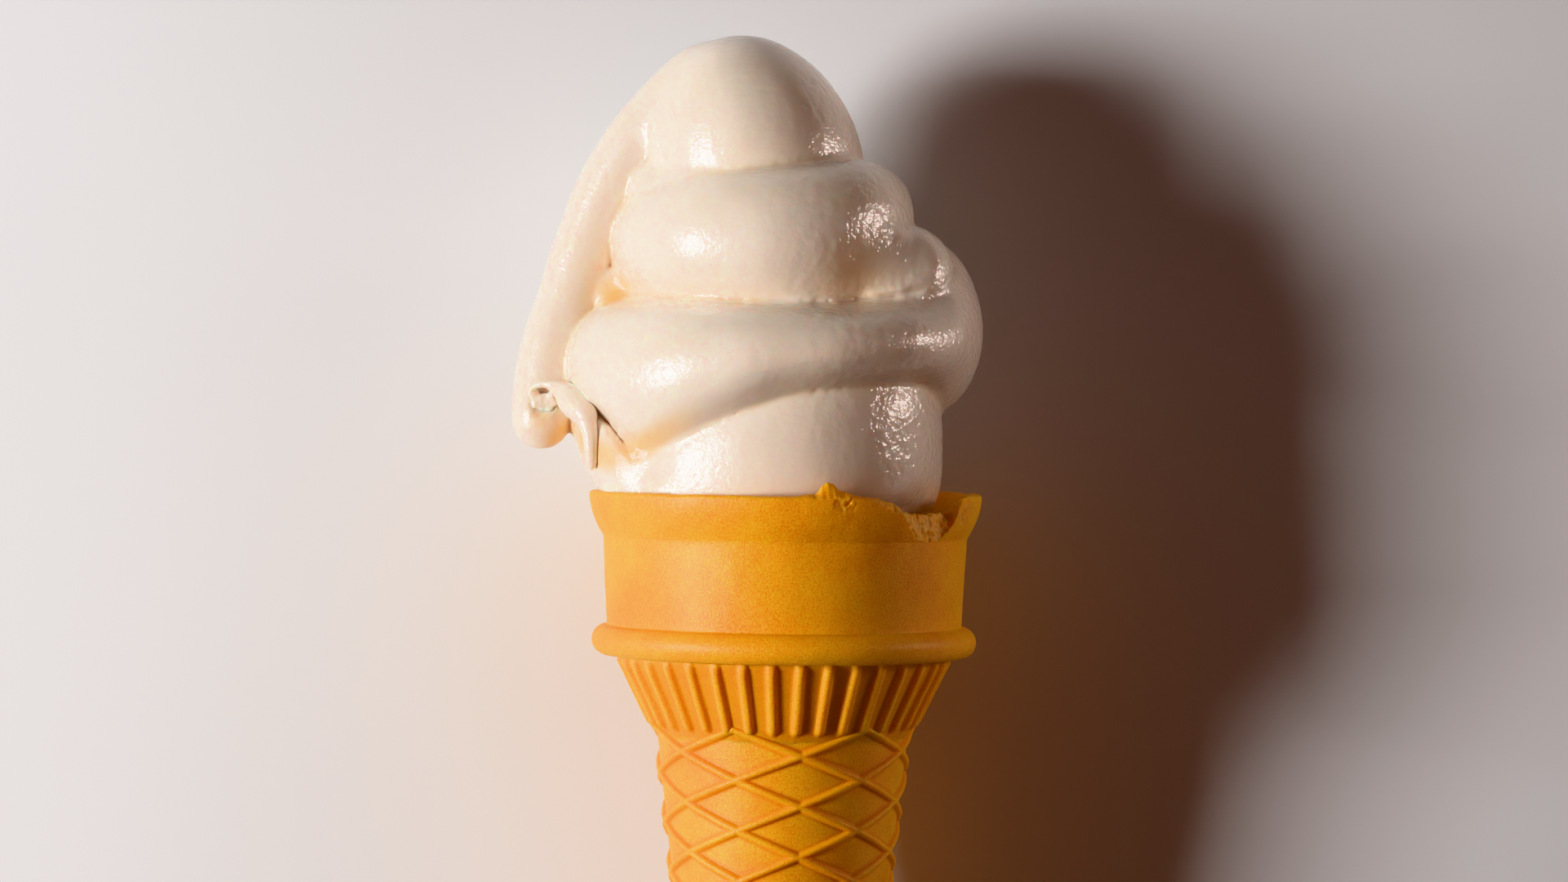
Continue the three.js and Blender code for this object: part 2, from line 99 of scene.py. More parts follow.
# Angles on the bead's section where its arc starts and ends, and its steps.
BEAD_ARC = (-72, 90, 14)

SHOULDER_TOP = -21.4
SHOULDER_BOTTOM = -32.2
SHOULDER_TOP_RADIUS = 21.9
SHOULDER_BOTTOM_RADIUS = 16.5
RIB_COUNT = 36
RIB_PHASE = 5.8
RIB_FOOT = -30.4
RIB_COLUMNS = 20
# How the columns crowd onto a rib: shares of a column's place, and of that place's eighth power.
RIB_CROWDING = (0.55, 0.225)
# Power of a rib's section and of a ridge's: 2 is round, and more is squarer.
RIB_POWER = 2.6
RIDGE_POWER = 2.2

LATTICE_RADIUS = 16.6
TAPER = 0.118
DIAMOND_COLUMNS = 12
DIAMOND_HALF_HEIGHT = 3.3
DIAMOND_PHASE = 8.5
DIAMOND_ORIGIN = -27.2
LATTICE_TOP = -28.9
LATTICE_BOTTOM = -96.5
# Rows of the mesh from a ridge to the middle of a diamond, as shares of the way.
RIDGE_ROWS = (0, 0.04, 0.08, 0.115, 0.15, 0.18, 0.21, 0.26, 0.36, 0.55, 0.8)

TIP_ROUNDING = 2.2
TIP_TOP = -101.5
TIP_COLLAR = 0.5
TIP_COLLAR_HEIGHT = 2.0
CAVITY_FLOOR = -100.0
# The lip's piece and the shoulder's overlap inside the bead, between these heights.
SHOULDER_END = -20.6
LIP_END = -21.45

# How far the painted shade beside a ridge reaches, in ridge widths.
PAINTED_SHADE_REACH = 1.7
# How the ridges' rise varies, as a share of it, and the faces' waviness, in layers of the same kind.
RIDGE_VARIATION = ((0.12, 0.6),)
WAVINESS = ((0.07, 0.22), (0.03, 0.9))

# The broken stretch of the lip: angle, and how far below the rim the break's outer edge is.
BREAK = (
    (18, 0), (23, 0.15), (28, 0.55), (31.4, 1.25), (35.8, 2.1), (38.8, 3.1), (40.2, 4.3), (43, 5.2),
    (46, 5.6), (54, 5.7), (57, 4.9), (59.3, 3.6), (60.8, 1.5), (62, 0.2), (63.5, 0),
)
# How far below the rim the break's inner edge is, where a flake also stands up from it.
BREAK_INSIDE = (
    (3, 0), (5, -0.25), (9.5, -0.7), (10.9, -1.6), (12.4, -2.0), (14.3, -1.75), (15.6, -1.1), (18.1, -0.7),
    (21, -0.2), (27, 0.1), (33, 0.5), (36.5, 1.2), (40, 1.9), (50, 2.1), (60, 1.9), (65.5, 1.7), (67, 0.4),
    (68, 0),
)
# Angles between which the lip's faces are finer, for the break.
FINE_ANGLES = (3, 69)
# Rough patches of the lip's face: angle, height, half width, half height and share, and their depth.
ROUGH_PATCHES = (
    (17.0, -1.2, 2.0, 1.2, 0.5),
    (66.5, -2.4, 3.0, 2.1, 1.0),
)
ROUGH_DEPTH = 0.15
# A gouge under the flake: angle, height, half width, half height and depth. Below its middle it slants, by
# an angle for each millimetre, and narrows.
GOUGE = (17.9, -1.0, 0.5, 0.9, 0.3)
GOUGE_SLANT = 1.3
GOUGE_NARROWING = 0.2
# Crumbs for each millimetre of the break, their seed, and the size and noise of its ragged edges.
CRUMB_FINENESS = 1.1
CRUMB_SEED = 4
RAGGED_SIZE = 0.2
RAGGED = (0.8, 2.1, 3)

# ---------- ice cream, in millimetres

# The winding rope, by its turn counted from the shown side: height, reach from the axis, half height,
# half thickness, and fullness, 2 for an ellipse and more for squarer shoulders, where it isn't ROUND.
ROUND = 2.1
ROPE = (
    (-0.25, -9.0, 22.0, 9.5, 9.0, 2.4),
    (-0.19, -2.5, 23.4, 10.3, 9.0, 2.6),
    (-0.125, 1.8, 23.7, 10.5, 9.0, 2.6),
    (0.00, 5.4, 23.4, 10.5, 9.5, 2.8),
    (0.125, 7.6, 22.6, 10.8, 9.3, 3.0),
    (0.25, 5.6, 20.7, 10.8, 9.0, 3.0),
    (0.375, 7.0, 22.5, 10.5, 9.5, 2.6),
    (0.50, 10.0, 26.6, 10.5, 10.0, 2.4),
    (0.625, 13.0, 28.0, 10.0, 10.5, 2.2),
    (0.75, 16.0, 29.1, 9.7, 10.8, 2.2),
    (0.82, 15.9, 28.9, 9.4, 10.7),
    (0.875, 14.7, 28.2, 10.4, 10.5),
    (1.00, 18.05, 26.2, 6.45, 10.5),
    (1.125, 19.5, 26.0, 6.0, 10.3),
    (1.16, 19.9, 26.0, 7.0, 10.2),
    (1.20, 20.9, 25.9, 10.4, 10.1),
    (1.25, 21.7, 25.8, 12.3, 10.0),
    (1.375, 24.5, 26.0, 11.5, 10.0),
    (1.50, 27.0, 27.8, 10.5, 10.0),
    (1.625, 30.0, 25.5, 9.5, 10.5),
    (1.75, 32.5, 23.4, 9.3, 11.0),
    (1.875, 32.4, 22.2, 9.6, 10.5),
    (2.00, 32.7, 20.5, 9.9, 9.0),
    (2.125, 33.6, 18.7, 10.1, 8.0),
    (2.25, 36.3, 16.5, 7.2, 6.5),
    (2.375, 36.0, 16.5, 7.0, 7.0),
    (2.50, 36.5, 17.5, 7.0, 8.0),
    (2.75, 37.0, 21.0, 5.5, 7.0),
    (3.00, 42.0, 12.0, 6.0, 6.0),
)
# A shorter fold under the left of the winding, in the same terms.
COLLAR = (
    (-0.45, 2.0, 24.0, 8.0, 8.0),
    (-0.34, 7.0, 26.6, 9.5, 9.0),
    (-0.25, 9.3, 28.3, 10.0, 9.0),
    (-0.21, 6.9, 27.6, 9.6, 9.0),
    (-0.17, 3.0, 26.5, 9.0, 8.2),
    (-0.13, -4.0, 23.6, 7.0, 7.0),
    (-0.10, -10.0, 21.0, 5.0, 6.0),
)
# Ice cream that has spread over the rim's left, in the same terms.
SKIRT = (
    (-0.38, 0.5, 22.0, 2.5, 4.0),
    (-0.30, 1.3, 24.8, 3.6, 4.5),
    (-0.20, 1.6, 25.3, 4.5, 5.0),
    (-0.14, 0.9, 24.6, 3.2, 5.0),
    (-0.08, -1.0, 23.0, 2.0, 4.0),
)
STEPS_PER_TURN = 144
# Where two folds have run into each other: middle, reach and rounds of smoothing.
SOFT_SPOTS = (
    ((-17.0, -3.0, 53.0), 7.0, 40),
    ((-17.5, -4.0, 46.0), 6.0, 30),
    ((12.8, -15.0, 30.6), 8.0, 100),
    ((-21.0, -12.5, 2.6), 7.0, 90),
    ((-22.8, -2.0, 26.0), 4.5, 40),
)
# A fold's depth is how far rounds of smoothing move it. Its painted glow and shade, a warm tint in the
# base colour, grows from a start to a full depth, up to one share on the winding and another on the curl.
FOLD_ROUNDS = 60
FOLD_START = 0.05
FOLD_DEPTH = 0.9
FOLD_PAINTED_GLOW = 0.4
CURL_PAINTED_GLOW = 0.15
# The skin's dimples, by size and fineness, how much longer they are upwards, and its broad swell.
DIMPLES = ((1.0, 0.75), (0.8, 1.35))
DIMPLE_STRETCH = 0.7
SWELL = ((0.2, 0.13),)

DOME_CENTRE = (-4.3, 0.0, 43.6)
DOME_RADII = (14.3, 14.0, 16.8)
DOME_LEAN = 0.14

# Balls of ice cream that fill the gaps between the folds: middle and radius.
FILLINGS = (
    ((14.5, -6.5, 28.0), 7.5),
    ((11.0, -8.8, 30.0), 6.5),
    ((-19.2, -10.3, 3.8), 4.5),
    ((-22.8, 2.8, 26.0), 4.2),
    ((-20.5, 5.5, 27.5), 5.5),
    ((-22.0, 5.5, 20.5), 5.5),
    ((-17.5, 4.5, 35.5), 5.0),
    ((-16.3, -1.5, 39.0), 5.0),
)
# Section of the solid middle, as radius and height.
CORE = ((0, -9), (19.5, -9), (19.5, 0), (15, 8), (15, 24), (10, 36), (5, 46), (0, 46))

# The last pull of rope: x, y and z of its middle, and its radius.
PULL = (
    (-5.0, 0.0, 49.5, 10.0),
    (-7.8, 0.0, 53.1, 7.3),
    (-11.3, 0.3, 53.9, 5.5),
    (-15.2, 0.8, 51.0, 5.1),
    (-20.2, 1.4, 45.9, 4.6),
    (-24.1, 1.9, 39.8, 4.35),
    (-27.1, 2.2, 32.1, 4.25),
    (-29.2, 2.0, 25.6, 4.15),
    (-31.2, 1.4, 19.2, 4.1),
    (-32.3, 0.6, 13.0, 4.05),
    (-32.5, -0.4, 8.9, 3.95),
    (-32.5, -0.6, 6.9, 3.2),
    (-32.5, -0.7, 5.7, 1.9),
    (-32.5, -0.7, 5.3, 0.6),
)
# The hook at its torn end: a thin hood over the torn mouth that widens to a tongue and hangs down.
HOOK = (
    (-34.0, -4.0, 12.7, 0.25),
    (-33.5, -4.3, 13.3, 0.35),
    (-32.5, -4.6, 13.75, 0.42),
    (-31.4, -4.8, 13.8, 0.6),
    (-30.2, -5.1, 13.35, 1.05),
    (-29.1, -5.9, 12.7, 1.55),
    (-27.9, -7.6, 11.6, 2.05),
    (-26.4, -9.5, 10.1, 1.8),
    (-25.9, -10.2, 8.7, 1.25),
    (-25.5, -10.5, 7.2, 1.05),
    (-25.4, -10.5, 5.6, 0.95),
    (-25.3, -10.4, 4.0, 0.82),
    (-25.3, -10.4, 3.3, 0.65),
    (-25.3, -10.3, 2.75, 0.3),
)
# The torn mouth under the hood: its middle, radius and depth, and the lumps in it.
MOUTH = (-32.1, -4.0, 11.4)
MOUTH_RADIUS = 2.1
MOUTH_DEPTH = 0.6
LUMPS = (
    ((-33.3, -3.6, 12.5), 0.75),
    ((-32.5, -3.6, 11.9), 0.7),
    ((-33.2, -3.4, 11.2), 0.65),
    ((-31.8, -3.7, 12.3), 0.5),
    ((-30.9, -4.1, 12.5), 0.55),
    ((-31.4, -3.6, 11.6), 0.6),
    ((-30.6, -3.8, 11.5), 0.6),
    ((-32.3, -3.3, 10.9), 0.65),
    ((-31.3, -3.3, 10.6), 0.6),
)
LUMP_ROUGHNESS = 0.12

# Raised and sunk lines in the skin, in front of a depth: points as x and z, width and rise. They fade in
# from their ends, and are drawn in finer faces.
LINE_DEPTH = -8.0
LINE_FADE = 2.5
FINE_REACH = 1.8
LINE_REACH = 2.4
SKIN_LINES = (
    (((-0.5, 24.8), (5.8, 25.2), (10.0, 25.9), (17.0, 27.1)), 0.42, 0.3),
    (((2.0, 24.1), (6.8, 24.4), (10.0, 24.95), (13.1, 25.5), (18.5, 26.6)), 0.5, -0.45),
    (((-26.2, 12.2), (-25.0, 10.9), (-23.2, 8.9), (-21.9, 7.3), (-19.6, 5.0)), 0.6, -2.4),
)
# Painted glow and shade, a warm tint in the base colour where light shines through thin ice cream and
# where gaps are in shade: middle, reach and share of the tint.
PAINTED_GLOWS = (
    ((-23.2, -2.5, 26.0), 4.2, 0.95),
    ((-20.5, -2.0, 33.0), 3.5, 0.4),
    ((-29.4, -2.4, 7.6), 3.6, 0.7),
    ((-27.3, -7.0, 6.0), 3.6, 0.7),
    ((-32.3, -4.0, 9.5), 2.8, 0.35),
    ((8.0, -15.5, 28.6), 8.5, 0.3),
)
# The painted glow and shadow under the left fold, a warm tint in the base colour: the line it follows, as
# x and z, and its reach and share of the tint. It ends above a second line, and fades out to the right and
# to the back.
LOW_GLOW = ((-24.2, 4.8), (-21.5, 4.4), (-16.5, 6.9), (-11.2, 10.0))
LOW_GLOW_REACH = (3.0, 0.4)
LOW_GLOW_SHARE = 0.65
LOW_GLOW_END = ((-21.3, 1.0), (-10.8, 9.5))
LOW_GLOW_RIGHT = (-9.0, -19.0)
LOW_GLOW_BACK = (-6.0, -9.0)

# ---------- stage

# Where the lights are aimed, in metres, and each one's name, direction, distance, size, power and colour.
LIGHT_TARGET = (0, 0.03, 0.03)
LIGHTS = (
    ("key", (-0.85, -0.02, 0.53), 0.8, (0.22, 0.22), 8.6, (1.0, 0.99, 0.98)),
    ("side", (0.95, 0.2, 0.06), 0.5, (0.1, 0.11), 0.68, (1.0, 0.86, 0.8)),
    ("fill", (0.1, -0.2, 0.95), 1.4, (1.0, 1.0), 1.25, (1.0, 0.4, 0.29)),
)
WORLD_COLOUR = (1.0, 0.58, 0.42)
WORLD_STRENGTH = 0.035
EXPOSURE = 0.15
GAMMA = 0.84

# The camera, in pixels of a 1920 by 1080 frame, millimetres and degrees.
FRAME_WIDTH = 1920
FRAME_MIDDLE = (960, 540)
RIM_PIXEL = (962, 602)
HORIZON_PIXEL = 500
FOCAL_PIXELS = 5077
CAMERA_DISTANCE = 550.0
CAMERA_ROLL = 0.7
SENSOR_WIDTH = 36.0
# The nearest and farthest that the camera sees, in metres.
CLIP = (0.01, 20)

# ---------- what a user may change


def length(name, description, default, least=0):
    """A length, in millimetres."""
    return bpy.props.FloatProperty(
        name=name, description=description, default=default * MM, min=least * MM, unit="LENGTH"
    )


def colour(name, description, default):
    return bpy.props.FloatVectorProperty(
        name=name, description=description, default=default, min=0, max=1, subtype="COLOR"
    )


class WaferSettings(bpy.types.PropertyGroup):
    """Sizes and colours of the wafer cone."""

    rib_rise: length("Rib rise", "Height of the shoulder's ribs", 0.8)
    rib_width: length("Rib width", "Width of the shoulder's ribs at their foot", 1.6)
    ridge_rise: length("Ridge rise", "Height of the lattice's ridges", 0.58)
    ridge_width: length("Ridge width", "Width of the lattice's ridges at their foot", 1.25)
    crumb_size: length("Crumb size", "Depth of the crumbs along the broken lip", 0.2)
    baked: colour("Baked", "Colour of the wafer's face", (0.95, 0.445, 0.03))
    pale: colour("Pale", "Colour of the wafer's paler patches", (0.97, 0.61, 0.06))
    # Toasted is both the colour of the darker baked patches and the painted shade in the valleys between
    # the ribs and beside the ridges.
    toasted_and_painted_shade: colour("Toasted", "Colour of the wafer's darker patches", (0.74, 0.235, 0.012))
    crumb: colour("Crumb", "Colour of the wafer's broken inside", (0.84, 0.52, 0.13))


class IceCreamSettings(bpy.types.PropertyGroup):
    """Sizes and colours of the ice cream."""

    grain: length("Grain", "Size of the mesh's faces", 0.43, least=0.2)
    curl_grain: length("Curl grain", "Size of the curl's faces", 0.2, least=0.1)
    peel_depth: length("Peel depth", "Depth of the surface's fine dimples", 0.042)
    cream: colour("Cream", "Colour of the ice cream", (0.93, 0.835, 0.75))
    # The depth tint colours the faint random blotches, and the painted glow and shade in the folds and
    # thin places.
    blotch_and_painted_glow: colour("Depth tint", "Colour that light takes on in the folds", (0.93, 0.58, 0.17))


class StageSettings(bpy.types.PropertyGroup):
    """Colour and size of the floor."""

    floor_colour: colour("Floor colour", "Colour of the plain floor", (0.75, 0.76, 0.775))
    floor_size: length("Floor size", "Width of the floor", 6000, least=1000)


# ---------- small helpers


def lerp(start, end, share):
    return start + (end - start) * share


def smoothstep(start, end, value):
    share = min(max((value - start) / (end - start), 0.0), 1.0)
    return share * share * (3 - 2 * share)


def smooth_value(keys, place, at):
    """Value at a place through keys that start with where they stand: a cubic on each stretch, whose
    slope at a key is that of the line between its neighbours."""
    last = len(keys) - 1
    i = min(max(bisect.bisect_right([key[0] for key in keys], at) - 1, 0), last - 1)

    def slope(k):
        before, after = keys[max(k - 1, 0)], keys[min(k + 1, last)]
        return (after[place] - before[place]) / (after[0] - before[0])

    start, end = keys[i], keys[i + 1]
    span = end[0] - start[0]
    share = (at - start[0]) / span
    square, cube = share**2, share**3
    return (
        start[place]
        + (end[place] - start[place]) * (3 * square - 2 * cube)
        + span * (slope(i) * (cube - 2 * square + share) + slope(i + 1) * (cube - square))
    )


def held_value(keys, at):
    """As smooth_value for the first place, but 0 outside the keys."""
    return smooth_value(keys, 1, at) if keys[0][0] < at < keys[-1][0] else 0.0


def layered_noise(place, layers):
    """Noise at a place, in layers of a size and a fineness."""
    return sum(size * noise.noise(place * fineness) for size, fineness in layers)


def polar(angle, radius, height):
    return Vector((radius * math.sin(angle), -radius * math.cos(angle), height))


def angle_of(point):
    """Angle of a point round the cone's axis, in degrees, from -180 to 180."""
    return math.degrees(math.atan2(point.x, -point.y))


def rest_tilt():
    """The cone lies on its rim and its bead, and its axis falls by this angle from the rim's level."""
    bead_reach = BEAD_CENTRE_RADIUS + BEAD_RADIUS
    return math.atan2(RIM_RADIUS - bead_reach, -LIP_ROUNDING - BEAD_HEIGHT)


def cone_to_frame():
    """Matrix that lays the upright cone, in millimetres, where the frame has it, in metres."""
    low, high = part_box(WAFER)
    tilt = rest_tilt()
    tip_radius = lattice_radius(-CONE_LENGTH) - TIP_ROUNDING
    along = CONE_LENGTH * math.cos(tilt) + tip_radius * math.sin(tilt)
    above = RIM_RADIUS * math.cos(tilt) + LIP_ROUNDING * math.sin(tilt)
    rim = Vector(((low.x + high.x) / 2, low.y + along * MM, low.z + above * MM))
    lay = Matrix.Rotation(tilt - math.pi / 2, 4, "X")
    return Matrix.Translation(rim) @ lay @ Matrix.Scale(MM, 4)


def new_object(name, bm):
    """Object of a bmesh, which is used up."""
    mesh = bpy.data.meshes.new(name)
    bm.to_mesh(mesh)
    bm.free()
    obj = bpy.data.objects.new(name, mesh)
    bpy.context.scene.collection.objects.link(obj)
    return obj


def bake_modifiers(obj):
    """Makes an object's modifiers part of its mesh."""
    graph = bpy.context.evaluated_depsgraph_get()
    mesh = bpy.data.meshes.new_from_object(obj.evaluated_get(graph))
    obj.modifiers.clear()
    old = obj.data
    obj.data = mesh
    bpy.data.meshes.remove(old)


def combine(obj, tool, operation):
    """Joins or cuts an object with another, which is used up."""
    modifier = obj.modifiers.new("Cut", "BOOLEAN")
    modifier.operation = operation
    modifier.solver = "EXACT"
    modifier.object = tool
    bake_modifiers(obj)
    mesh = tool.data
    bpy.data.objects.remove(tool)
    bpy.data.meshes.remove(mesh)


def finish_piece(obj, node, material):
    """Lays a piece in its place, gives it its finish, and hands it to the frame."""
    mesh = obj.data
    mesh.transform(cone_to_frame())
    mesh.materials.clear()
    mesh.materials.append(material)
    mesh.polygons.foreach_set("use_smooth", [True] * len(mesh.polygons))
    mesh.update()
    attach(obj, ROOT)
    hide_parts(node)


def turned(profile, steps):
    """Body of revolution about Z from (radius, height) pairs."""
    bm = bmesh.new()
    verts = [bm.verts.new((radius, 0, height)) for radius, height in profile]
    edges = [bm.edges.new(pair) for pair in zip(verts, verts[1:])]
    bmesh.ops.spin(
        bm, geom=verts + edges, cent=(0, 0, 0), axis=(0, 0, 1), dvec=(0, 0, 0),
        angle=2 * math.pi, steps=steps, use_merge=True,
    )
    bmesh.ops.remove_doubles(bm, verts=bm.verts, dist=1e-5)
    bmesh.ops.recalc_face_normals(bm, faces=bm.faces)
    return bm


def add_bmesh(bm, other):
    """Adds one bmesh to another and uses it up."""
    mesh = bpy.data.meshes.new("part")
    other.to_mesh(mesh)
    other.free()
    bm.from_mesh(mesh)
    bpy.data.meshes.remove(mesh)


def tube(sides, steps, place):
    """Closed rope: a cylinder whose sections are moved by place(section, x, y)."""
    bm = bmesh.new()
    bmesh.ops.create_cone(bm, cap_ends=True, segments=sides, radius1=1, radius2=1, depth=1)
    lengthwise = [edge for edge in bm.edges if abs(edge.verts[0].co.z - edge.verts[1].co.z) > 0.5]
    bmesh.ops.subdivide_edges(bm, edges=lengthwise, cuts=steps - 1)
    for vert in bm.verts:
        section = round((vert.co.z + 0.5) * steps)
        vert.co = place(section, vert.co.x, vert.co.y)
    bmesh.ops.recalc_face_normals(bm, faces=bm.faces)
    return bm


# ---------- wafer cone


def lattice_radius(height):
    return LATTICE_RADIUS + TAPER * (height - SHOULDER_BOTTOM)


def lip_radius(height):
    below = max(0.0, (-height - LIP_ROUNDING) / (LIP_HEIGHT - LIP_ROUNDING))
    return RIM_RADIUS - (RIM_RADIUS - BAND_TOP_RADIUS) * below**LIP_FLARE_POWER


def inside_radius(height):
    """Radius of the wafer's inside near the rim."""
    share = min(max(-height / LIP_ZONE, 0.0), 1.0)
    return lerp(RIM_RADIUS - WALL + LIP_THINNING, BAND_TOP_RADIUS - WALL, share)


def rows(start, end, step):
    """Heights from start to end, evenly spaced by about a step."""
    count = max(1, round(abs(end - start) / step))
    return [lerp(start, end, i / count) for i in range(count + 1)]


def arc(radius, height, size, start, end, count):
    """Points on an arc about a point, between angles in degrees."""
    points = []
    for i in range(count + 1):
        angle = math.radians(lerp(start, end, i / count))
        points.append((radius + size * math.cos(angle), height + size * math.sin(angle)))
    return points


def shoulder_profile():
    """Section of the shoulder's wall, from its foot up into the bead and back down its inside."""
    outside = rows(SHOULDER_BOTTOM, RIB_FOOT + 0.6, 0.25) + rows(RIB_FOOT + 1.4, SHOULDER_TOP, 1.1)
    return [(outside_radius(z), z) for z in outside] + [
        (SHOULDER_TOP_RADIUS, SHOULDER_END),
        (BAND_BOTTOM_RADIUS - WALL, SHOULDER_END),
        (lattice_radius(SHOULDER_BOTTOM) - WALL / 2, SHOULDER_BOTTOM),
        (SHOULDER_BOTTOM_RADIUS, SHOULDER_BOTTOM),
    ]


def tip_profile():
    """Outside of the tip, from its end up to its collar."""
    end_radius = lattice_radius(-CONE_LENGTH)
    profile = [(0, -CONE_LENGTH), (end_radius * 0.35, -CONE_LENGTH)]
    profile += arc(end_radius - TIP_ROUNDING, -CONE_LENGTH + TIP_ROUNDING, TIP_ROUNDING, -90, 0, 6)
    profile += [(lattice_radius(z), z) for z in rows(TIP_TOP, LATTICE_BOTTOM - TIP_COLLAR_HEIGHT, 0.8)]
    collar = rows(LATTICE_BOTTOM - TIP_COLLAR_HEIGHT + 0.5, LATTICE_BOTTOM - TIP_COLLAR, 0.4)
    return profile + [(lattice_radius(z) + TIP_COLLAR, z) for z in collar]


def cavity_profile():
    """Inside of the cone, from inside the shoulder down to its floor."""
    return [
        (lattice_radius(LATTICE_TOP) - WALL, LATTICE_TOP),
        (lattice_radius(CAVITY_FLOOR) - WALL, CAVITY_FLOOR),
        (0, CAVITY_FLOOR),
    ]


def lip_profile():
    """Ring of bead, band and lip, from its underside round its outside and back down its inside."""
    underside = (BAND_BOTTOM_RADIUS - WALL, LIP_END)
    profile = [underside, (SHOULDER_TOP_RADIUS + 0.5, LIP_END)]
    profile += arc(BEAD_CENTRE_RADIUS, BEAD_HEIGHT, BEAD_RADIUS, *BEAD_ARC)
    outside = rows(BAND_BOTTOM, -LIP_HEIGHT - 0.15, 0.7) + rows(-LIP_HEIGHT + 0.15, -LIP_ROUNDING, 0.45)
    profile += [(outside_radius(z), z) for z in outside]
    inner, outer = inside_radius(0), RIM_RADIUS
    for i in range(1, RIM_STEPS):
        angle = math.pi * i / RIM_STEPS
        across = lerp(outer, inner, 0.5 - 0.5 * math.cos(angle))
        profile.append((across, -LIP_ROUNDING * (1 - math.sin(angle) ** 0.7)))
    profile += [(inside_radius(z), z) for z in rows(-LIP_ROUNDING, -LIP_ZONE, 0.5)]
    return profile + [(BAND_BOTTOM_RADIUS - WALL, BEAD_HEIGHT), underside]


def rib_relief(angle, height, radius, width):
    """Share of a rib's rise: a half-round rod with a round end at its foot."""
    pitch = 360 / RIB_COUNT
    away = abs((angle - RIB_PHASE + pitch / 2) % pitch - pitch / 2)
    across = math.radians(away) * radius / (width / 2)
    below = max(0.0, RIB_FOOT - height) / (width / 2)
    out = min(math.hypot(across, below), 1.0)
    return 1 - out**RIB_POWER


def lattice_relief(angle, height, radius, width):
    """Share of a ridge's rise: two families of ridges wind round the cone and cross."""
    column = (angle - DIAMOND_PHASE) / (360 / DIAMOND_COLUMNS)
    row = (DIAMOND_ORIGIN - height) / DIAMOND_HALF_HEIGHT
    column_width = 2 * math.pi * radius / DIAMOND_COLUMNS
    steepness = math.hypot(1 / column_width, 1 / DIAMOND_HALF_HEIGHT)
    top_row = 1 + abs(column % 2 - 1)
    if row < top_row:
        away = (top_row - row) / steepness
    else:
        away = min(abs((winding + 1) % 2 - 1) for winding in (column + row, column - row)) / steepness
    rise = 1 - min(away / (width / 2), 1) ** RIDGE_POWER
    return rise * smoothstep(LATTICE_BOTTOM, LATTICE_BOTTOM + 0.6, height)


def break_amount(angle):
    """How much the lip is broken at an angle, from 0 to 1."""
    return smoothstep(0.1, 0.9, held_value(BREAK, angle))


def lip_top(angle, outwards):
    """Height of the lip's top: outwards runs from 0 at its inside to 1 at its outside."""
    place = polar(math.radians(angle), RIM_RADIUS, 0)
    outside = held_value(BREAK, angle)
    inside = held_value(BREAK_INSIDE, angle)
    ragged = smoothstep(0.1, 0.8, abs(inside)) * noise.fractal(place * 0.9, *RAGGED)
    uneven = layered_noise(place, RIM_WAVINESS) - RIM_SINK + RAGGED_SIZE * ragged
    return uneven - lerp(inside, outside, smoothstep(0.0, 1.0, outwards))


def crumble(point, size):
    """How a crumbly surface stands off at a point."""
    coarse = noise.noise_vector(point * CRUMB_FINENESS)
    fine = noise.noise_vector(point * CRUMB_FINENESS * 2)
    return size * (coarse + 0.7 * fine)


def shape_lip(bm, settings):
    """Breaks the plain ring's lip and gives its faces their slight unevenness."""
    broken_layer = bm.verts.layers.float.new("broken")
    crumb = settings.crumb_size / MM
    noise.seed_set(CRUMB_SEED)
    for vert in bm.verts:
        height = vert.co.z
        radius = math.hypot(vert.co.x, vert.co.y)
        angle = angle_of(vert.co)
        if height < -LIP_ZONE + CLOSE:
            vert.co = vert.co + vert.co.normalized() * uneven(vert.co)
            continue
        inner, outer = inside_radius(height), outside_radius(height)
        outwards = min(max((radius - inner) / (outer - inner), 0.0), 1.0)
        top = lip_top(angle, outwards)
        new_height = -LIP_ZONE + (height + LIP_ZONE) * (LIP_ZONE + top) / LIP_ZONE
        radius = lerp(inside_radius(new_height), outside_radius(new_height), outwards)
        radius -= chip_depth(angle, new_height) * smoothstep(0.6, 1.0, outwards)
        place = polar(math.radians(angle), radius, new_height)
        torn = break_amount(angle) * smoothstep(-LIP_ROUNDING - 0.5, -LIP_ROUNDING, height)
        torn = max(torn, rough_patch(angle, new_height) * smoothstep(0.6, 1.0, outwards))
        vert[broken_layer] = torn
        vert.co = place + torn * crumble(place, crumb) + polar(math.radians(angle), uneven(place), 0)


def uneven(place):
    """Slight waviness of the baked faces."""
    return layered_noise(place, WAVINESS)


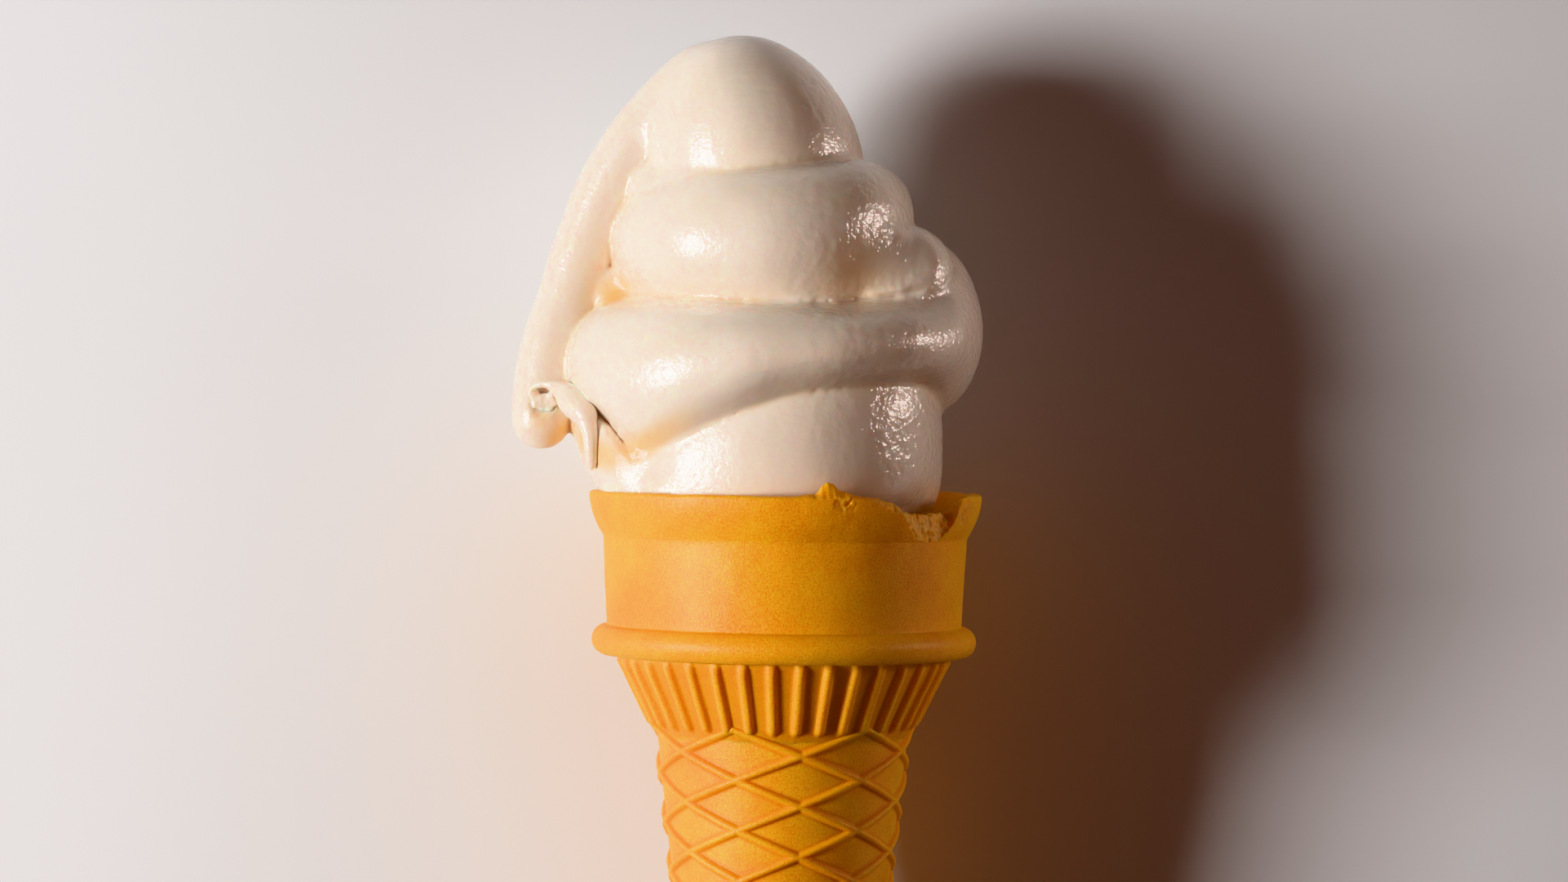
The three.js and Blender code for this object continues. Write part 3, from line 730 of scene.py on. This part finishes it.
def lattice_skin():
    """Outside of the lattice, as a grid whose lines run along the two families of ridges."""
    half = len(RIDGE_ROWS)
    away = RIDGE_ROWS + (1,) + tuple(2 - share for share in reversed(RIDGE_ROWS[1:]))
    period = 2 * half
    around = period * DIAMOND_COLUMNS // 2
    first = (DIAMOND_ORIGIN - LATTICE_TOP) / DIAMOND_HALF_HEIGHT - 0.6
    last = (DIAMOND_ORIGIN - LATTICE_BOTTOM) / DIAMOND_HALF_HEIGHT + 0.6
    bm = bmesh.new()
    corners = {}

    def winding_at(index):
        return 2 * (index // period) + away[index % period]

    def corner(i, j):
        turns = i // around
        key = (i - turns * around, j - turns * around)
        if key not in corners:
            up, down = winding_at(key[0]), winding_at(key[1])
            height = DIAMOND_ORIGIN - DIAMOND_HALF_HEIGHT * (up - down) / 2
            angle = DIAMOND_PHASE + 360 / DIAMOND_COLUMNS * (up + down) / 2
            corners[key] = bm.verts.new(polar(math.radians(angle), lattice_radius(height), height))
        return corners[key]

    reach = math.ceil(last) * period
    for i in range(around):
        for j in range(i - reach, i + period):
            row = (winding_at(i) - winding_at(j)) / 2
            if first < row < last:
                bm.faces.new((corner(i, j), corner(i + 1, j), corner(i + 1, j + 1), corner(i, j + 1)))
    for height, outwards in ((LATTICE_TOP, 1), (LATTICE_BOTTOM, -1)):
        bmesh.ops.bisect_plane(
            bm, geom=bm.verts[:] + bm.edges[:] + bm.faces[:], plane_co=(0, 0, height),
            plane_no=(0, 0, outwards), clear_outer=True,
        )
    return bm


def open_edges(bm, height):
    """Open edges of a mesh that lie at a height."""
    return [
        edge for edge in bm.edges
        if edge.is_boundary and all(abs(vert.co.z - height) < CLOSE for vert in edge.verts)
    ]


def shape_shoulder(bm, settings):
    """Moves the plain turned shoulder to its ribs, with most of its columns on them, and stores painted
    shade in the valleys between the ribs.
    """
    painted_shade_layer = bm.verts.layers.float.new("foot")
    rise, width = settings.rib_rise / MM, settings.rib_width / MM
    pitch = 360 / RIB_COUNT
    even, crowded = RIB_CROWDING
    for vert in bm.verts:
        height = vert.co.z
        radius = math.hypot(vert.co.x, vert.co.y)
        column = angle_of(vert.co) / pitch
        aside = column - round(column)
        spaced = math.copysign(even * abs(aside) + crowded * abs(2 * aside) ** 8, aside)
        angle = RIB_PHASE + pitch * (round(column) + spaced)
        if radius > outside_radius(height) - WALL / 4:
            relief = rib_relief(angle, height, radius, width)
            # Painted shade: the valleys between the ribs get a share of darkening towards the toasted
            # colour.
            vert[painted_shade_layer] = 1 - relief
            radius += relief * rise
            radius += uneven(vert.co)
        vert.co = polar(math.radians(angle), radius, height)


def shape_lattice(bm, settings):
    """Moves the plain lattice skin to its ridges, and stores painted shade in a strip beside each ridge.
    """
    painted_shade_layer = bm.verts.layers.float.new("foot")
    rise, width = settings.ridge_rise / MM, settings.ridge_width / MM
    for vert in bm.verts:
        height = vert.co.z
        radius = math.hypot(vert.co.x, vert.co.y)
        if radius < lattice_radius(height) - WALL / 4:
            continue
        angle = angle_of(vert.co)
        relief = lattice_relief(angle, height, radius, width)
        beside = lattice_relief(angle, height, radius, width * PAINTED_SHADE_REACH)
        proud = rise * (1 + layered_noise(vert.co, RIDGE_VARIATION))
        above = max(0.0, outside_radius(height) - lattice_radius(height))
        radius += relief * (proud + above)
        # Painted shade in a strip beside each ridge, darkened towards the toasted colour.
        vert[painted_shade_layer] = min(1.0, 2 * (beside - relief))
        vert.co = polar(math.radians(angle), radius + uneven(vert.co), height)


def rough_patch(angle, height):
    """How rough the lip's face is at a place, from 0 to 1."""
    ragged = 0.3 * noise.noise(polar(math.radians(angle), RIM_RADIUS, height) * 1.2)
    return max(
        share * smoothstep(0, 0.5, 1 + ragged - math.hypot(
            math.radians(angle - middle) * RIM_RADIUS / half_width, (height - level) / half_height
        ))
        for middle, level, half_width, half_height, share in ROUGH_PATCHES
    )


def chip_depth(angle, height):
    """How far a small gouge and the rough patches sink the lip's face."""
    middle, level, half_width, half_height, depth = GOUGE
    below = level - height
    across = math.radians(angle - middle + GOUGE_SLANT * below) * RIM_RADIUS
    out = math.hypot(across / (half_width - GOUGE_NARROWING * below), below / half_height)
    rough = noise.fractal(polar(math.radians(angle), RIM_RADIUS, height) * 2.0, *RAGGED)
    gouge = smoothstep(0.2, 0.9, 1 + 0.4 * rough - out)
    return depth * gouge + ROUGH_DEPTH * rough_patch(angle, height) * (1 + rough)


def outside_radius(height):
    """Radius of the wafer's plain outside, at any height above the tip's rounding."""
    if height > -LIP_HEIGHT:
        return lip_radius(height)
    if height > BEAD_HEIGHT + BEAD_RADIUS:
        share = (height - BAND_BOTTOM) / (-LIP_HEIGHT - BAND_BOTTOM)
        return lerp(BAND_BOTTOM_RADIUS, BAND_TOP_RADIUS, share)
    if height > SHOULDER_TOP:
        return BEAD_CENTRE_RADIUS
    if height > SHOULDER_BOTTOM:
        share = (height - SHOULDER_BOTTOM) / (SHOULDER_TOP - SHOULDER_BOTTOM)
        return lerp(SHOULDER_BOTTOM_RADIUS, SHOULDER_TOP_RADIUS, share)
    return lattice_radius(height)


def finish_wafer(name, bm, settings):
    """Makes a piece of the wafer from its bmesh."""
    bmesh.ops.recalc_face_normals(bm, faces=bm.faces)
    material = shared_material("baked_wafer", baked_wafer, settings)
    finish_piece(new_object(name, bm), WAFER, material)


def make_lip(settings):
    bm = turned(lip_profile(), LIP_SIDES)
    first, last = FINE_ANGLES
    near_break = [
        edge for edge in bm.edges
        if all(vert.co.z > -LIP_ZONE + 0.3 and first < angle_of(vert.co) < last for vert in edge.verts)
    ]
    bmesh.ops.subdivide_edges(bm, edges=near_break, cuts=2, use_grid_fill=True)
    shape_lip(bm, settings)
    finish_wafer("wafer_lip", bm, settings)


def make_shoulder(settings):
    bm = turned(shoulder_profile(), RIB_COUNT * RIB_COLUMNS)
    shape_shoulder(bm, settings)
    finish_wafer("wafer_shoulder", bm, settings)


def make_lattice(settings):
    bm = lattice_skin()
    add_bmesh(bm, turned(tip_profile(), TIP_SIDES))
    add_bmesh(bm, turned(cavity_profile(), TIP_SIDES))
    tops = open_edges(bm, LATTICE_TOP)
    bmesh.ops.bridge_loops(bm, edges=tops)
    bottoms = open_edges(bm, LATTICE_BOTTOM) + open_edges(bm, LATTICE_BOTTOM - TIP_COLLAR)
    bmesh.ops.bridge_loops(bm, edges=bottoms)
    shape_lattice(bm, settings)
    finish_wafer("wafer_lattice", bm, settings)


# ---------- ice cream


def bend(value, fullness):
    return math.copysign(abs(value) ** (2 / fullness), value)


def coil(keys, sides):
    """Rope that winds round the cone's axis."""
    keys = [key if len(key) == 6 else key + (ROUND,) for key in keys]
    start, end = keys[0][0], keys[-1][0]
    steps = round((end - start) * STEPS_PER_TURN)
    sections = []
    for i in range(steps + 1):
        turn = lerp(start, end, i / steps)
        sections.append([turn] + [smooth_value(keys, place, turn) for place in range(1, 6)])

    def place(section, x, y):
        turn, height, reach, half_height, half_thickness, fullness = sections[section]
        across, up = bend(x, fullness), bend(y, fullness)
        radius = reach - half_thickness * (1 - across)
        return polar(turn * 2 * math.pi, radius, height + half_height * up)

    return tube(sides, steps, place)


def rope(keys, sides, steps):
    """Rope along a smooth curve through its keys, whose sections turn as little as they can."""
    points = [(i,) + key for i, key in enumerate(keys)]
    last = len(keys) - 1

    def middle_at(at):
        return Vector([smooth_value(points, place, at) for place in (1, 2, 3)])

    sections = []
    across = Vector((0, 1, 0))
    for i in range(steps + 1):
        at = last * i / steps
        along = (middle_at(min(at + 0.05, last)) - middle_at(max(at - 0.05, 0))).normalized()
        across = (across - along * across.dot(along)).normalized()
        sections.append((middle_at(at), across, across.cross(along), smooth_value(points, 4, at)))

    def place(section, x, y):
        middle, out, up, radius = sections[section]
        return middle + radius * (x * out + y * up)

    return tube(sides, steps, place)


def ball(centre, radii, lean=0.0):
    bm = bmesh.new()
    bmesh.ops.create_uvsphere(bm, u_segments=48, v_segments=32, radius=1)
    for vert in bm.verts:
        across, away, up = (co * radius for co, radius in zip(vert.co, radii))
        vert.co = Vector(centre) + Vector((across - lean * up, away, up))
    return bm


def keep_out():
    """What the ice cream is cut back from: the wafer's lip and wall, and the surface it lies on."""
    wall = BAND_TOP_RADIUS - WALL - GAP
    lip = inside_radius(0) - GAP
    foot, outside, block = -14, RIM_RADIUS + 12, 120
    ring = turned([
        (wall - 0.4, foot), (wall, -LIP_ZONE), (lip - 0.5, -2), (lip, -RIM_CONTACT),
        (outside, -RIM_CONTACT), (outside, foot), (wall - 0.4, foot),
    ], 96)
    floor = bmesh.new()
    bmesh.ops.create_cube(floor, size=block)
    tilt = Matrix.Rotation(-rest_tilt(), 4, "X")
    aside = Matrix.Translation((0, block / 2, block / 2))
    place = Matrix.Translation((0, RIM_RADIUS, -LIP_ROUNDING)) @ tilt @ aside
    bmesh.ops.transform(floor, matrix=place, verts=floor.verts)
    return ring, floor


def plug():
    """Ice cream inside the cone, a little smaller than its cavity."""
    top = -LIP_ZONE - 1.2
    return turned([
        (0, CAVITY_FLOOR + GAP), (lattice_radius(CAVITY_FLOOR) - WALL - GAP, CAVITY_FLOOR + GAP),
        (lattice_radius(SHOULDER_BOTTOM - 1) - WALL - GAP, SHOULDER_BOTTOM - 1),
        (BAND_BOTTOM_RADIUS - WALL - GAP, BEAD_HEIGHT),
        (BAND_TOP_RADIUS - WALL - GAP, top), (0, top),
    ], 72)


def smooth(bm, verts, rounds):
    for _ in range(rounds):
        bmesh.ops.smooth_vert(
            bm, verts=verts, factor=0.5, use_axis_x=True, use_axis_y=True, use_axis_z=True
        )


def soften(bm, centre, reach, rounds):
    """Smooths a patch, most at its middle."""
    centre = Vector(centre)
    near = [vert for vert in bm.verts if (vert.co - centre).length < reach * 1.3]
    before = [vert.co.copy() for vert in near]
    smooth(bm, near, rounds)
    for vert, old in zip(near, before):
        share = smoothstep(reach, reach * 0.45, (old - centre).length)
        vert.co = old.lerp(vert.co, share)


def mark_painted_glow(bm, tint, glows=True):
    """Stores each point's share of the painted glow and shade, a warm tint in the base colour: up to a
    tint in a crease, or more where a painted glow is set.
    """
    layer = bm.verts.layers.float.new("painted_glow")
    bm.normal_update()
    before = [(vert.co.copy(), vert.normal.copy()) for vert in bm.verts]
    smooth(bm, bm.verts, FOLD_ROUNDS)
    for vert, (old, normal) in zip(bm.verts, before):
        depth = (vert.co - old).dot(normal)
        glow = painted_glow_amount(old) if glows else 0
        vert[layer] = max(tint * smoothstep(FOLD_START, 1.0, depth / FOLD_DEPTH), glow)
        vert.co = old


def painted_glow_amount(point):
    """How much painted glow and shade the ice cream's colour takes at a point, from 0 to 1."""
    start, end = LOW_GLOW_END
    end_height = lerp(start[1], end[1], (point.x - start[0]) / (end[0] - start[0]))
    low = LOW_GLOW_SHARE * smoothstep(*LOW_GLOW_REACH, distance_to(LOW_GLOW, point.x, point.z))
    low *= smoothstep(-0.5, 1.0, point.z - end_height) * smoothstep(*LOW_GLOW_BACK, point.y)
    low *= smoothstep(*LOW_GLOW_RIGHT, point.x)
    return max(low, *(
        share * smoothstep(reach, 0, (point - Vector(middle)).length) for middle, reach, share in PAINTED_GLOWS
    ))


def distance_to(points, x, z):
    """Distance from a place to a line through points."""
    place = Vector((x, z))
    nearest = math.inf
    for start, end in zip(points, points[1:]):
        start, end = Vector(start), Vector(end)
        along = end - start
        share = min(max((place - start).dot(along) / along.length_squared, 0), 1)
        nearest = min(nearest, (start + along * share - place).length)
    return nearest


def near_lines(vert, reach):
    """Whether a point of the shown side is within reach of a skin line."""
    x, y, z = vert.co
    return y < LINE_DEPTH and any(distance_to(line[0], x, z) < reach for line in SKIN_LINES)


def draw_skin_lines(bm):
    """Raises and sinks the skin along its lines, in finer faces."""
    edges = [edge for edge in bm.edges if all(near_lines(vert, FINE_REACH) for vert in edge.verts)]
    bmesh.ops.subdivide_edges(bm, edges=edges, cuts=1, use_grid_fill=True)
    near = [vert for vert in bm.verts if near_lines(vert, LINE_REACH)]
    for points, width, rise in SKIN_LINES:
        for vert in near:
            x, _, z = vert.co
            share = math.exp(-((distance_to(points, x, z) / width) ** 2))
            from_end = min(math.hypot(x - end[0], z - end[1]) for end in (points[0], points[-1]))
            share *= smoothstep(0, LINE_FADE, from_end)
            vert.co.y -= rise * share * (1 + 0.25 * noise.noise(vert.co * 0.9))
    smooth(bm, near, 3)


def peel_amount(point):
    """How rough the ice cream's skin is: finest on the left, coarsest on the right."""
    across = smoothstep(-12, 16, point.x)
    on_turns = smoothstep(5, 13, point.z + 0.25 * point.x)
    return 0.4 + on_turns * 0.6 * across + (1 - on_turns) * 0.6 * smoothstep(7, 16, point.x)


def mark_peel(bm, share=1.0):
    """Stores how rough the skin is at each point."""
    layer = bm.verts.layers.float.new("peel")
    for vert in bm.verts:
        vert[layer] = share * peel_amount(vert.co)
    return layer


def sink_mouth(bm):
    """Sinks the torn mouth at the end of the pull, ragged at its edge."""
    middle = Vector(MOUTH)
    for vert in bm.verts:
        away = vert.co - middle
        if abs(away.y) > MOUTH_RADIUS:
            continue
        ragged = 0.5 * noise.noise(vert.co * 1.1)
        depth = smoothstep(MOUTH_RADIUS, MOUTH_RADIUS * 0.55, math.hypot(away.x, away.z) + ragged)
        vert.co.y += MOUTH_DEPTH * depth * (1 + 0.4 * noise.noise(vert.co * 1.7))


def skin_relief(point, peel, peel_depth):
    """How far the ice cream's skin stands proud at a point."""
    stretched = Vector((point.x, point.y, point.z * DIMPLE_STRETCH))
    return peel * peel_depth * layered_noise(stretched, DIMPLES) + layered_noise(point, SWELL)


def add_balls(bm, balls):
    for centre, radius in balls:
        add_bmesh(bm, ball(centre, (radius,) * 3))


def skin(name, bm, grain, rounds):
    """One closed skin of even faces round all that a bmesh holds: its object, and a bmesh of it."""
    obj = new_object(name, bm)
    modifier = obj.modifiers.new("Skin", "REMESH")
    modifier.mode = "VOXEL"
    modifier.voxel_size = grain / MM
    bake_modifiers(obj)
    bm = bmesh.new()
    bm.from_mesh(obj.data)
    smooth(bm, bm.verts, rounds)
    return obj, bm


def make_ice_cream(settings):
    bm = coil(ROPE, sides=64)
    add_bmesh(bm, coil(COLLAR, sides=56))
    add_bmesh(bm, coil(SKIRT, sides=40))
    add_bmesh(bm, rope(PULL, sides=40, steps=160))
    add_bmesh(bm, ball(DOME_CENTRE, DOME_RADII, DOME_LEAN))
    add_balls(bm, FILLINGS)
    add_bmesh(bm, turned(CORE, 64))
    obj, bm = skin("ice_cream", bm, settings.grain, 5)
    for centre, reach, rounds in SOFT_SPOTS:
        soften(bm, centre, reach, rounds)
    sink_mouth(bm)
    draw_skin_lines(bm)
    mark_painted_glow(bm, FOLD_PAINTED_GLOW)
    peel = mark_peel(bm)
    bm.normal_update()
    peel_depth = settings.peel_depth / MM
    moves = [vert.normal * skin_relief(vert.co, vert[peel], peel_depth) for vert in bm.verts]
    for vert, move in zip(bm.verts, moves):
        vert.co += move
    bm.to_mesh(obj.data)
    bm.free()
    for tool in keep_out():
        combine(obj, new_object("keep_out", tool), "DIFFERENCE")
    combine(obj, new_object("plug", plug()), "UNION")
    material = shared_material("soft_ice_cream", soft_ice_cream, settings)
    finish_piece(obj, ICE_CREAM, material)


def make_curl(settings):
    bm = rope(HOOK, sides=24, steps=90)
    add_balls(bm, LUMPS)
    obj, bm = skin("ice_cream_curl", bm, settings.curl_grain, 3)
    bm.normal_update()
    middle = Vector(MOUTH)
    for vert in bm.verts:
        near = smoothstep(MOUTH_RADIUS * 1.3, MOUTH_RADIUS, (vert.co - middle).length)
        vert.co += vert.normal * LUMP_ROUGHNESS * near * noise.noise(vert.co * 2.0)
    soften(bm, MOUTH, 3.0, 3)
    mark_painted_glow(bm, CURL_PAINTED_GLOW, glows=False)
    mark_peel(bm, 1.2)
    bm.to_mesh(obj.data)
    bm.free()
    material = shared_material("soft_ice_cream", soft_ice_cream, settings)
    finish_piece(obj, ICE_CREAM, material)


# ---------- materials


def shared_material(name, finish, settings):
    """The material of a name, which is built by its finish the first time."""
    material = bpy.data.materials.get(name)
    if not material:
        material = bpy.data.materials.new(name)
        material.use_nodes = True
        tree = material.node_tree
        tree.nodes.clear()
        output = tree.nodes.new("ShaderNodeOutputMaterial")
        shader = tree.nodes.new("ShaderNodeBsdfPrincipled")
        tree.links.new(shader.outputs["BSDF"], output.inputs["Surface"])
        fill(tree, shader, finish(tree, settings))
    return material


def fill(tree, node, inputs):
    """Gives a node's inputs what they take: a socket to link to, a colour or a plain value."""
    for name, value in inputs.items():
        socket = node.inputs[name]
        if isinstance(value, bpy.types.NodeSocket):
            tree.links.new(value, socket)
        else:
            socket.default_value = (*value, 1) if socket.type == "RGBA" else value


def noise_node(tree, coordinates, scale, detail=3.0, roughness=0.5):
    """Noise whose cells are about 1 / scale of a metre across."""
    node = tree.nodes.new("ShaderNodeTexNoise")
    fill(tree, node, {"Vector": coordinates, "Scale": scale, "Detail": detail, "Roughness": roughness})
    return node.outputs["Fac"]


def ramp_node(tree, value, places, shades):
    """Colour that runs through shades, each at its place."""
    node = tree.nodes.new("ShaderNodeValToRGB")
    ramp = node.color_ramp
    while len(ramp.elements) < len(shades):
        ramp.elements.new(0.5)
    for element, place, shade in zip(ramp.elements, places, shades):
        element.position = place
        element.color = (*shade, 1)
    fill(tree, node, {"Fac": value})
    return node.outputs["Color"]


def mix_node(tree, share, first, second):
    """Colour between two, each a colour or a socket, by a share, a number or a socket."""
    node = tree.nodes.new("ShaderNodeMix")
    node.data_type = "RGBA"
    one, other = (i for i, socket in enumerate(node.inputs) if socket.type == "RGBA")
    fill(tree, node, {"Factor": share, one: first, other: second})
    return next(socket for socket in node.outputs if socket.type == "RGBA")


def maths_node(tree, operation, *values):
    node = tree.nodes.new("ShaderNodeMath")
    node.operation = operation
    fill(tree, node, dict(enumerate(values)))
    return node.outputs["Value"]


def attribute_node(tree, name):
    node = tree.nodes.new("ShaderNodeAttribute")
    node.attribute_name = name
    return node.outputs["Fac"]


def bump_node(tree, height, strength, distance, **below):
    node = tree.nodes.new("ShaderNodeBump")
    fill(tree, node, {"Strength": strength, "Distance": distance, "Height": height, **below})
    return node.outputs["Normal"]


def object_coordinates(tree):
    return tree.nodes.new("ShaderNodeTexCoord").outputs["Object"]


def baked_wafer(tree, settings):
    """Golden, with paler and darker patches, a fine grain, painted shade in the valleys and beside the
    ridges, and a crumbly broken inside.
    """
    place = object_coordinates(tree)
    shades = (settings.toasted_and_painted_shade, settings.baked, settings.pale)
    face = ramp_node(tree, noise_node(tree, place, 110, 5, 0.6), (0.2, 0.46, 0.72), shades)
    speckle = noise_node(tree, place, 4400, 2, 0.5)
    grain = ramp_node(tree, speckle, (0.32, 0.48, 0.62), shades)
    # Painted shade: the foot share darkens the valleys between the ribs and the strips beside the ridges
    # towards the toasted colour.
    painted_shade_share = maths_node(tree, "MULTIPLY", attribute_node(tree, "foot"), 0.45)
    with_painted_shade = mix_node(tree, painted_shade_share, mix_node(tree, 0.5, face, grain), settings.toasted_and_painted_shade)
    crumb_noise = noise_node(tree, place, 1300, 4, 0.65)
    crumb = ramp_node(tree, crumb_noise, (0.35, 0.6), (settings.baked, settings.crumb))
    pores = noise_node(tree, place, 3600, 2, 0.6)
    return {
        "Base Color": mix_node(tree, attribute_node(tree, "broken"), with_painted_shade, crumb),
        "Roughness": maths_node(tree, "MULTIPLY_ADD", speckle, 0.3, 0.32),
        "Specular IOR Level": 0.35,
        "Coat Weight": 0.2,
        "Coat Roughness": 0.35,
        "Subsurface Weight": 0.6,
        "Subsurface Radius": (1.0, 0.38, 0.08),
        "Subsurface Scale": 1.6 * MM,
        "Normal": bump_node(tree, pores, 0.45, 0.1 * MM),
        "Coat Normal": bump_node(tree, pores, 1.0, 0.16 * MM),
    }


def soft_ice_cream(tree, settings):
    """Pale, moist and a little see-through, with faint blotches, painted glow and shade in its folds and
    thin places, and a finely broken gloss.
    """
    place = object_coordinates(tree)
    cloud = maths_node(tree, "MULTIPLY", noise_node(tree, place, 70), 0.15)
    warm = mix_node(tree, cloud, settings.cream, settings.blotch_and_painted_glow)
    # Painted glow and shade: the stored share tints the base colour towards the depth tint, and takes the
    # coat's gloss away there.
    painted_glow = attribute_node(tree, "painted_glow")
    gloss = maths_node(tree, "MULTIPLY_ADD", painted_glow, -1.3, 0.8)
    peel = attribute_node(tree, "peel")
    pebbles = maths_node(tree, "MULTIPLY", noise_node(tree, place, 1300, 1), peel)
    grain = maths_node(tree, "MULTIPLY", noise_node(tree, place, 2400, 1), peel)
    glossy = bump_node(tree, pebbles, 0.85, 0.28 * MM)
    return {
        "Base Color": mix_node(tree, painted_glow, warm, settings.blotch_and_painted_glow),
        "Subsurface Weight": 1.0,
        "Subsurface Radius": (1.0, 0.55, 0.35),
        "Subsurface Scale": 1.0 * MM,
        "Roughness": 0.39,
        "Specular IOR Level": 0.75,
        "Coat Weight": maths_node(tree, "MAXIMUM", gloss, 0.05),
        "Coat Roughness": 0.2,
        "Coat IOR": 1.75,
        "Normal": bump_node(tree, pebbles, 0.17, 0.26 * MM),
        "Coat Normal": bump_node(tree, grain, 0.4, 0.12 * MM, Normal=glossy),
    }


def plain_floor(tree, settings):
    return {"Base Color": settings.floor_colour, "Roughness": 0.7}


# ---------- stage


def make_floor(settings):
    bm = bmesh.new()
    bmesh.ops.create_grid(bm, x_segments=4, y_segments=4, size=settings.floor_size / 2)
    floor = new_object("floor", bm)
    floor.data.materials.append(shared_material("plain_floor", plain_floor, settings))


def make_light(name, direction, distance, size, power, tint):
    """Area light that faces the ice cream from a direction."""
    data = bpy.data.lights.new(name, "AREA")
    data.shape = "RECTANGLE"
    data.size, data.size_y = size
    data.energy = power
    data.color = tint
    light = bpy.data.objects.new(name, data)
    towards = Vector(direction).normalized()
    light.location = Vector(LIGHT_TARGET) + towards * distance
    light.rotation_mode = "QUATERNION"
    light.rotation_quaternion = towards.to_track_quat("Z", "Y")
    bpy.context.scene.collection.objects.link(light)


def make_lights():
    for light in LIGHTS:
        make_light(*light)
    world = bpy.data.worlds.new("studio")
    world.use_nodes = True
    tree = world.node_tree
    fill(tree, tree.nodes["Background"], {"Color": WORLD_COLOUR, "Strength": WORLD_STRENGTH})
    bpy.context.scene.world = world
    view = bpy.context.scene.view_settings
    view.view_transform = "Khronos PBR Neutral"
    view.exposure = EXPOSURE
    view.gamma = GAMMA


def make_camera():
    """Camera that looks down on the cone as a level one looks at an upright cone."""
    pixel = CAMERA_DISTANCE / FOCAL_PIXELS
    roll = math.radians(CAMERA_ROLL)
    pitch = math.atan2(FRAME_MIDDLE[1] - HORIZON_PIXEL, FOCAL_PIXELS)
    right = Vector((math.cos(roll), 0, math.sin(roll)))
    level_up = Vector((-math.sin(roll), 0, math.cos(roll)))
    place = (
        (FRAME_MIDDLE[0] - RIM_PIXEL[0]) * pixel * right
        + (RIM_PIXEL[1] - HORIZON_PIXEL) * pixel * level_up
        - Vector((0, CAMERA_DISTANCE, 0))
    )
    ahead = Vector((0, 1, 0)) * math.cos(pitch) - level_up * math.sin(pitch)
    up = right.cross(ahead)
    axes = Matrix((right, up, -ahead)).transposed().to_4x4()
    laid = cone_to_frame()
    data = bpy.data.cameras.new("camera")
    data.sensor_width = SENSOR_WIDTH
    data.lens = FOCAL_PIXELS / FRAME_WIDTH * SENSOR_WIDTH
    data.clip_start, data.clip_end = CLIP
    camera = bpy.data.objects.new("camera", data)
    bpy.context.scene.collection.objects.link(camera)
    turn = (laid.to_quaternion().to_matrix() @ axes.to_3x3()).to_4x4()
    camera.matrix_world = Matrix.Translation(laid @ place) @ turn
    bpy.context.scene.camera = camera


# ---------- operators and panel


class SOFTSERVE_OT_wafer(bpy.types.Operator):
    """Model the wafer's broken lip, band and bead, its ribbed shoulder, and its lattice and tip"""

    bl_idname = "softserve.wafer"
    bl_label = "Wafer Cone"

    def execute(self, context):
        make_lip(context.scene.soft_serve_wafer)
        make_shoulder(context.scene.soft_serve_wafer)
        make_lattice(context.scene.soft_serve_wafer)
        return {"FINISHED"}


class SOFTSERVE_OT_ice_cream(bpy.types.Operator):
    """Model the winding ice cream, its dome and its last pull"""

    bl_idname = "softserve.ice_cream"
    bl_label = "Ice Cream"

    def execute(self, context):
        make_ice_cream(context.scene.soft_serve_cream)
        return {"FINISHED"}


class SOFTSERVE_OT_curl(bpy.types.Operator):
    """Model the curl at the end of the last pull"""

    bl_idname = "softserve.curl"
    bl_label = "Curl"

    def execute(self, context):
        make_curl(context.scene.soft_serve_cream)
        return {"FINISHED"}


class SOFTSERVE_OT_stage(bpy.types.Operator):
    """Set the floor, the lights and the camera"""

    bl_idname = "softserve.stage"
    bl_label = "Stage"

    def execute(self, context):
        make_floor(context.scene.soft_serve_stage)
        make_lights()
        make_camera()
        return {"FINISHED"}


OPERATORS = (
    SOFTSERVE_OT_stage,
    SOFTSERVE_OT_wafer,
    SOFTSERVE_OT_ice_cream,
    SOFTSERVE_OT_curl,
)


class SOFTSERVE_PT_panel(bpy.types.Panel):
    """Lists the pieces of the soft serve cone"""

    bl_idname = "SOFTSERVE_PT_panel"
    bl_label = "Soft Serve Cone"
    bl_space_type = "VIEW_3D"
    bl_region_type = "UI"
    bl_category = "Soft Serve"

    def draw(self, context):
        for operator in OPERATORS:
            self.layout.operator(operator.bl_idname)


CLASSES = (WaferSettings, IceCreamSettings, StageSettings, *OPERATORS, SOFTSERVE_PT_panel)


def register():
    for item in CLASSES:
        bpy.utils.register_class(item)
    scene = bpy.types.Scene
    scene.soft_serve_wafer = bpy.props.PointerProperty(type=WaferSettings)
    scene.soft_serve_cream = bpy.props.PointerProperty(type=IceCreamSettings)
    scene.soft_serve_stage = bpy.props.PointerProperty(type=StageSettings)


def unregister():
    del bpy.types.Scene.soft_serve_stage
    del bpy.types.Scene.soft_serve_cream
    del bpy.types.Scene.soft_serve_wafer
    for item in reversed(CLASSES):
        bpy.utils.unregister_class(item)


def main():
    register()
    bpy.ops.softserve.stage()
    bpy.ops.softserve.wafer()
    bpy.ops.softserve.ice_cream()
    bpy.ops.softserve.curl()


if __name__ == "__main__":
    main()
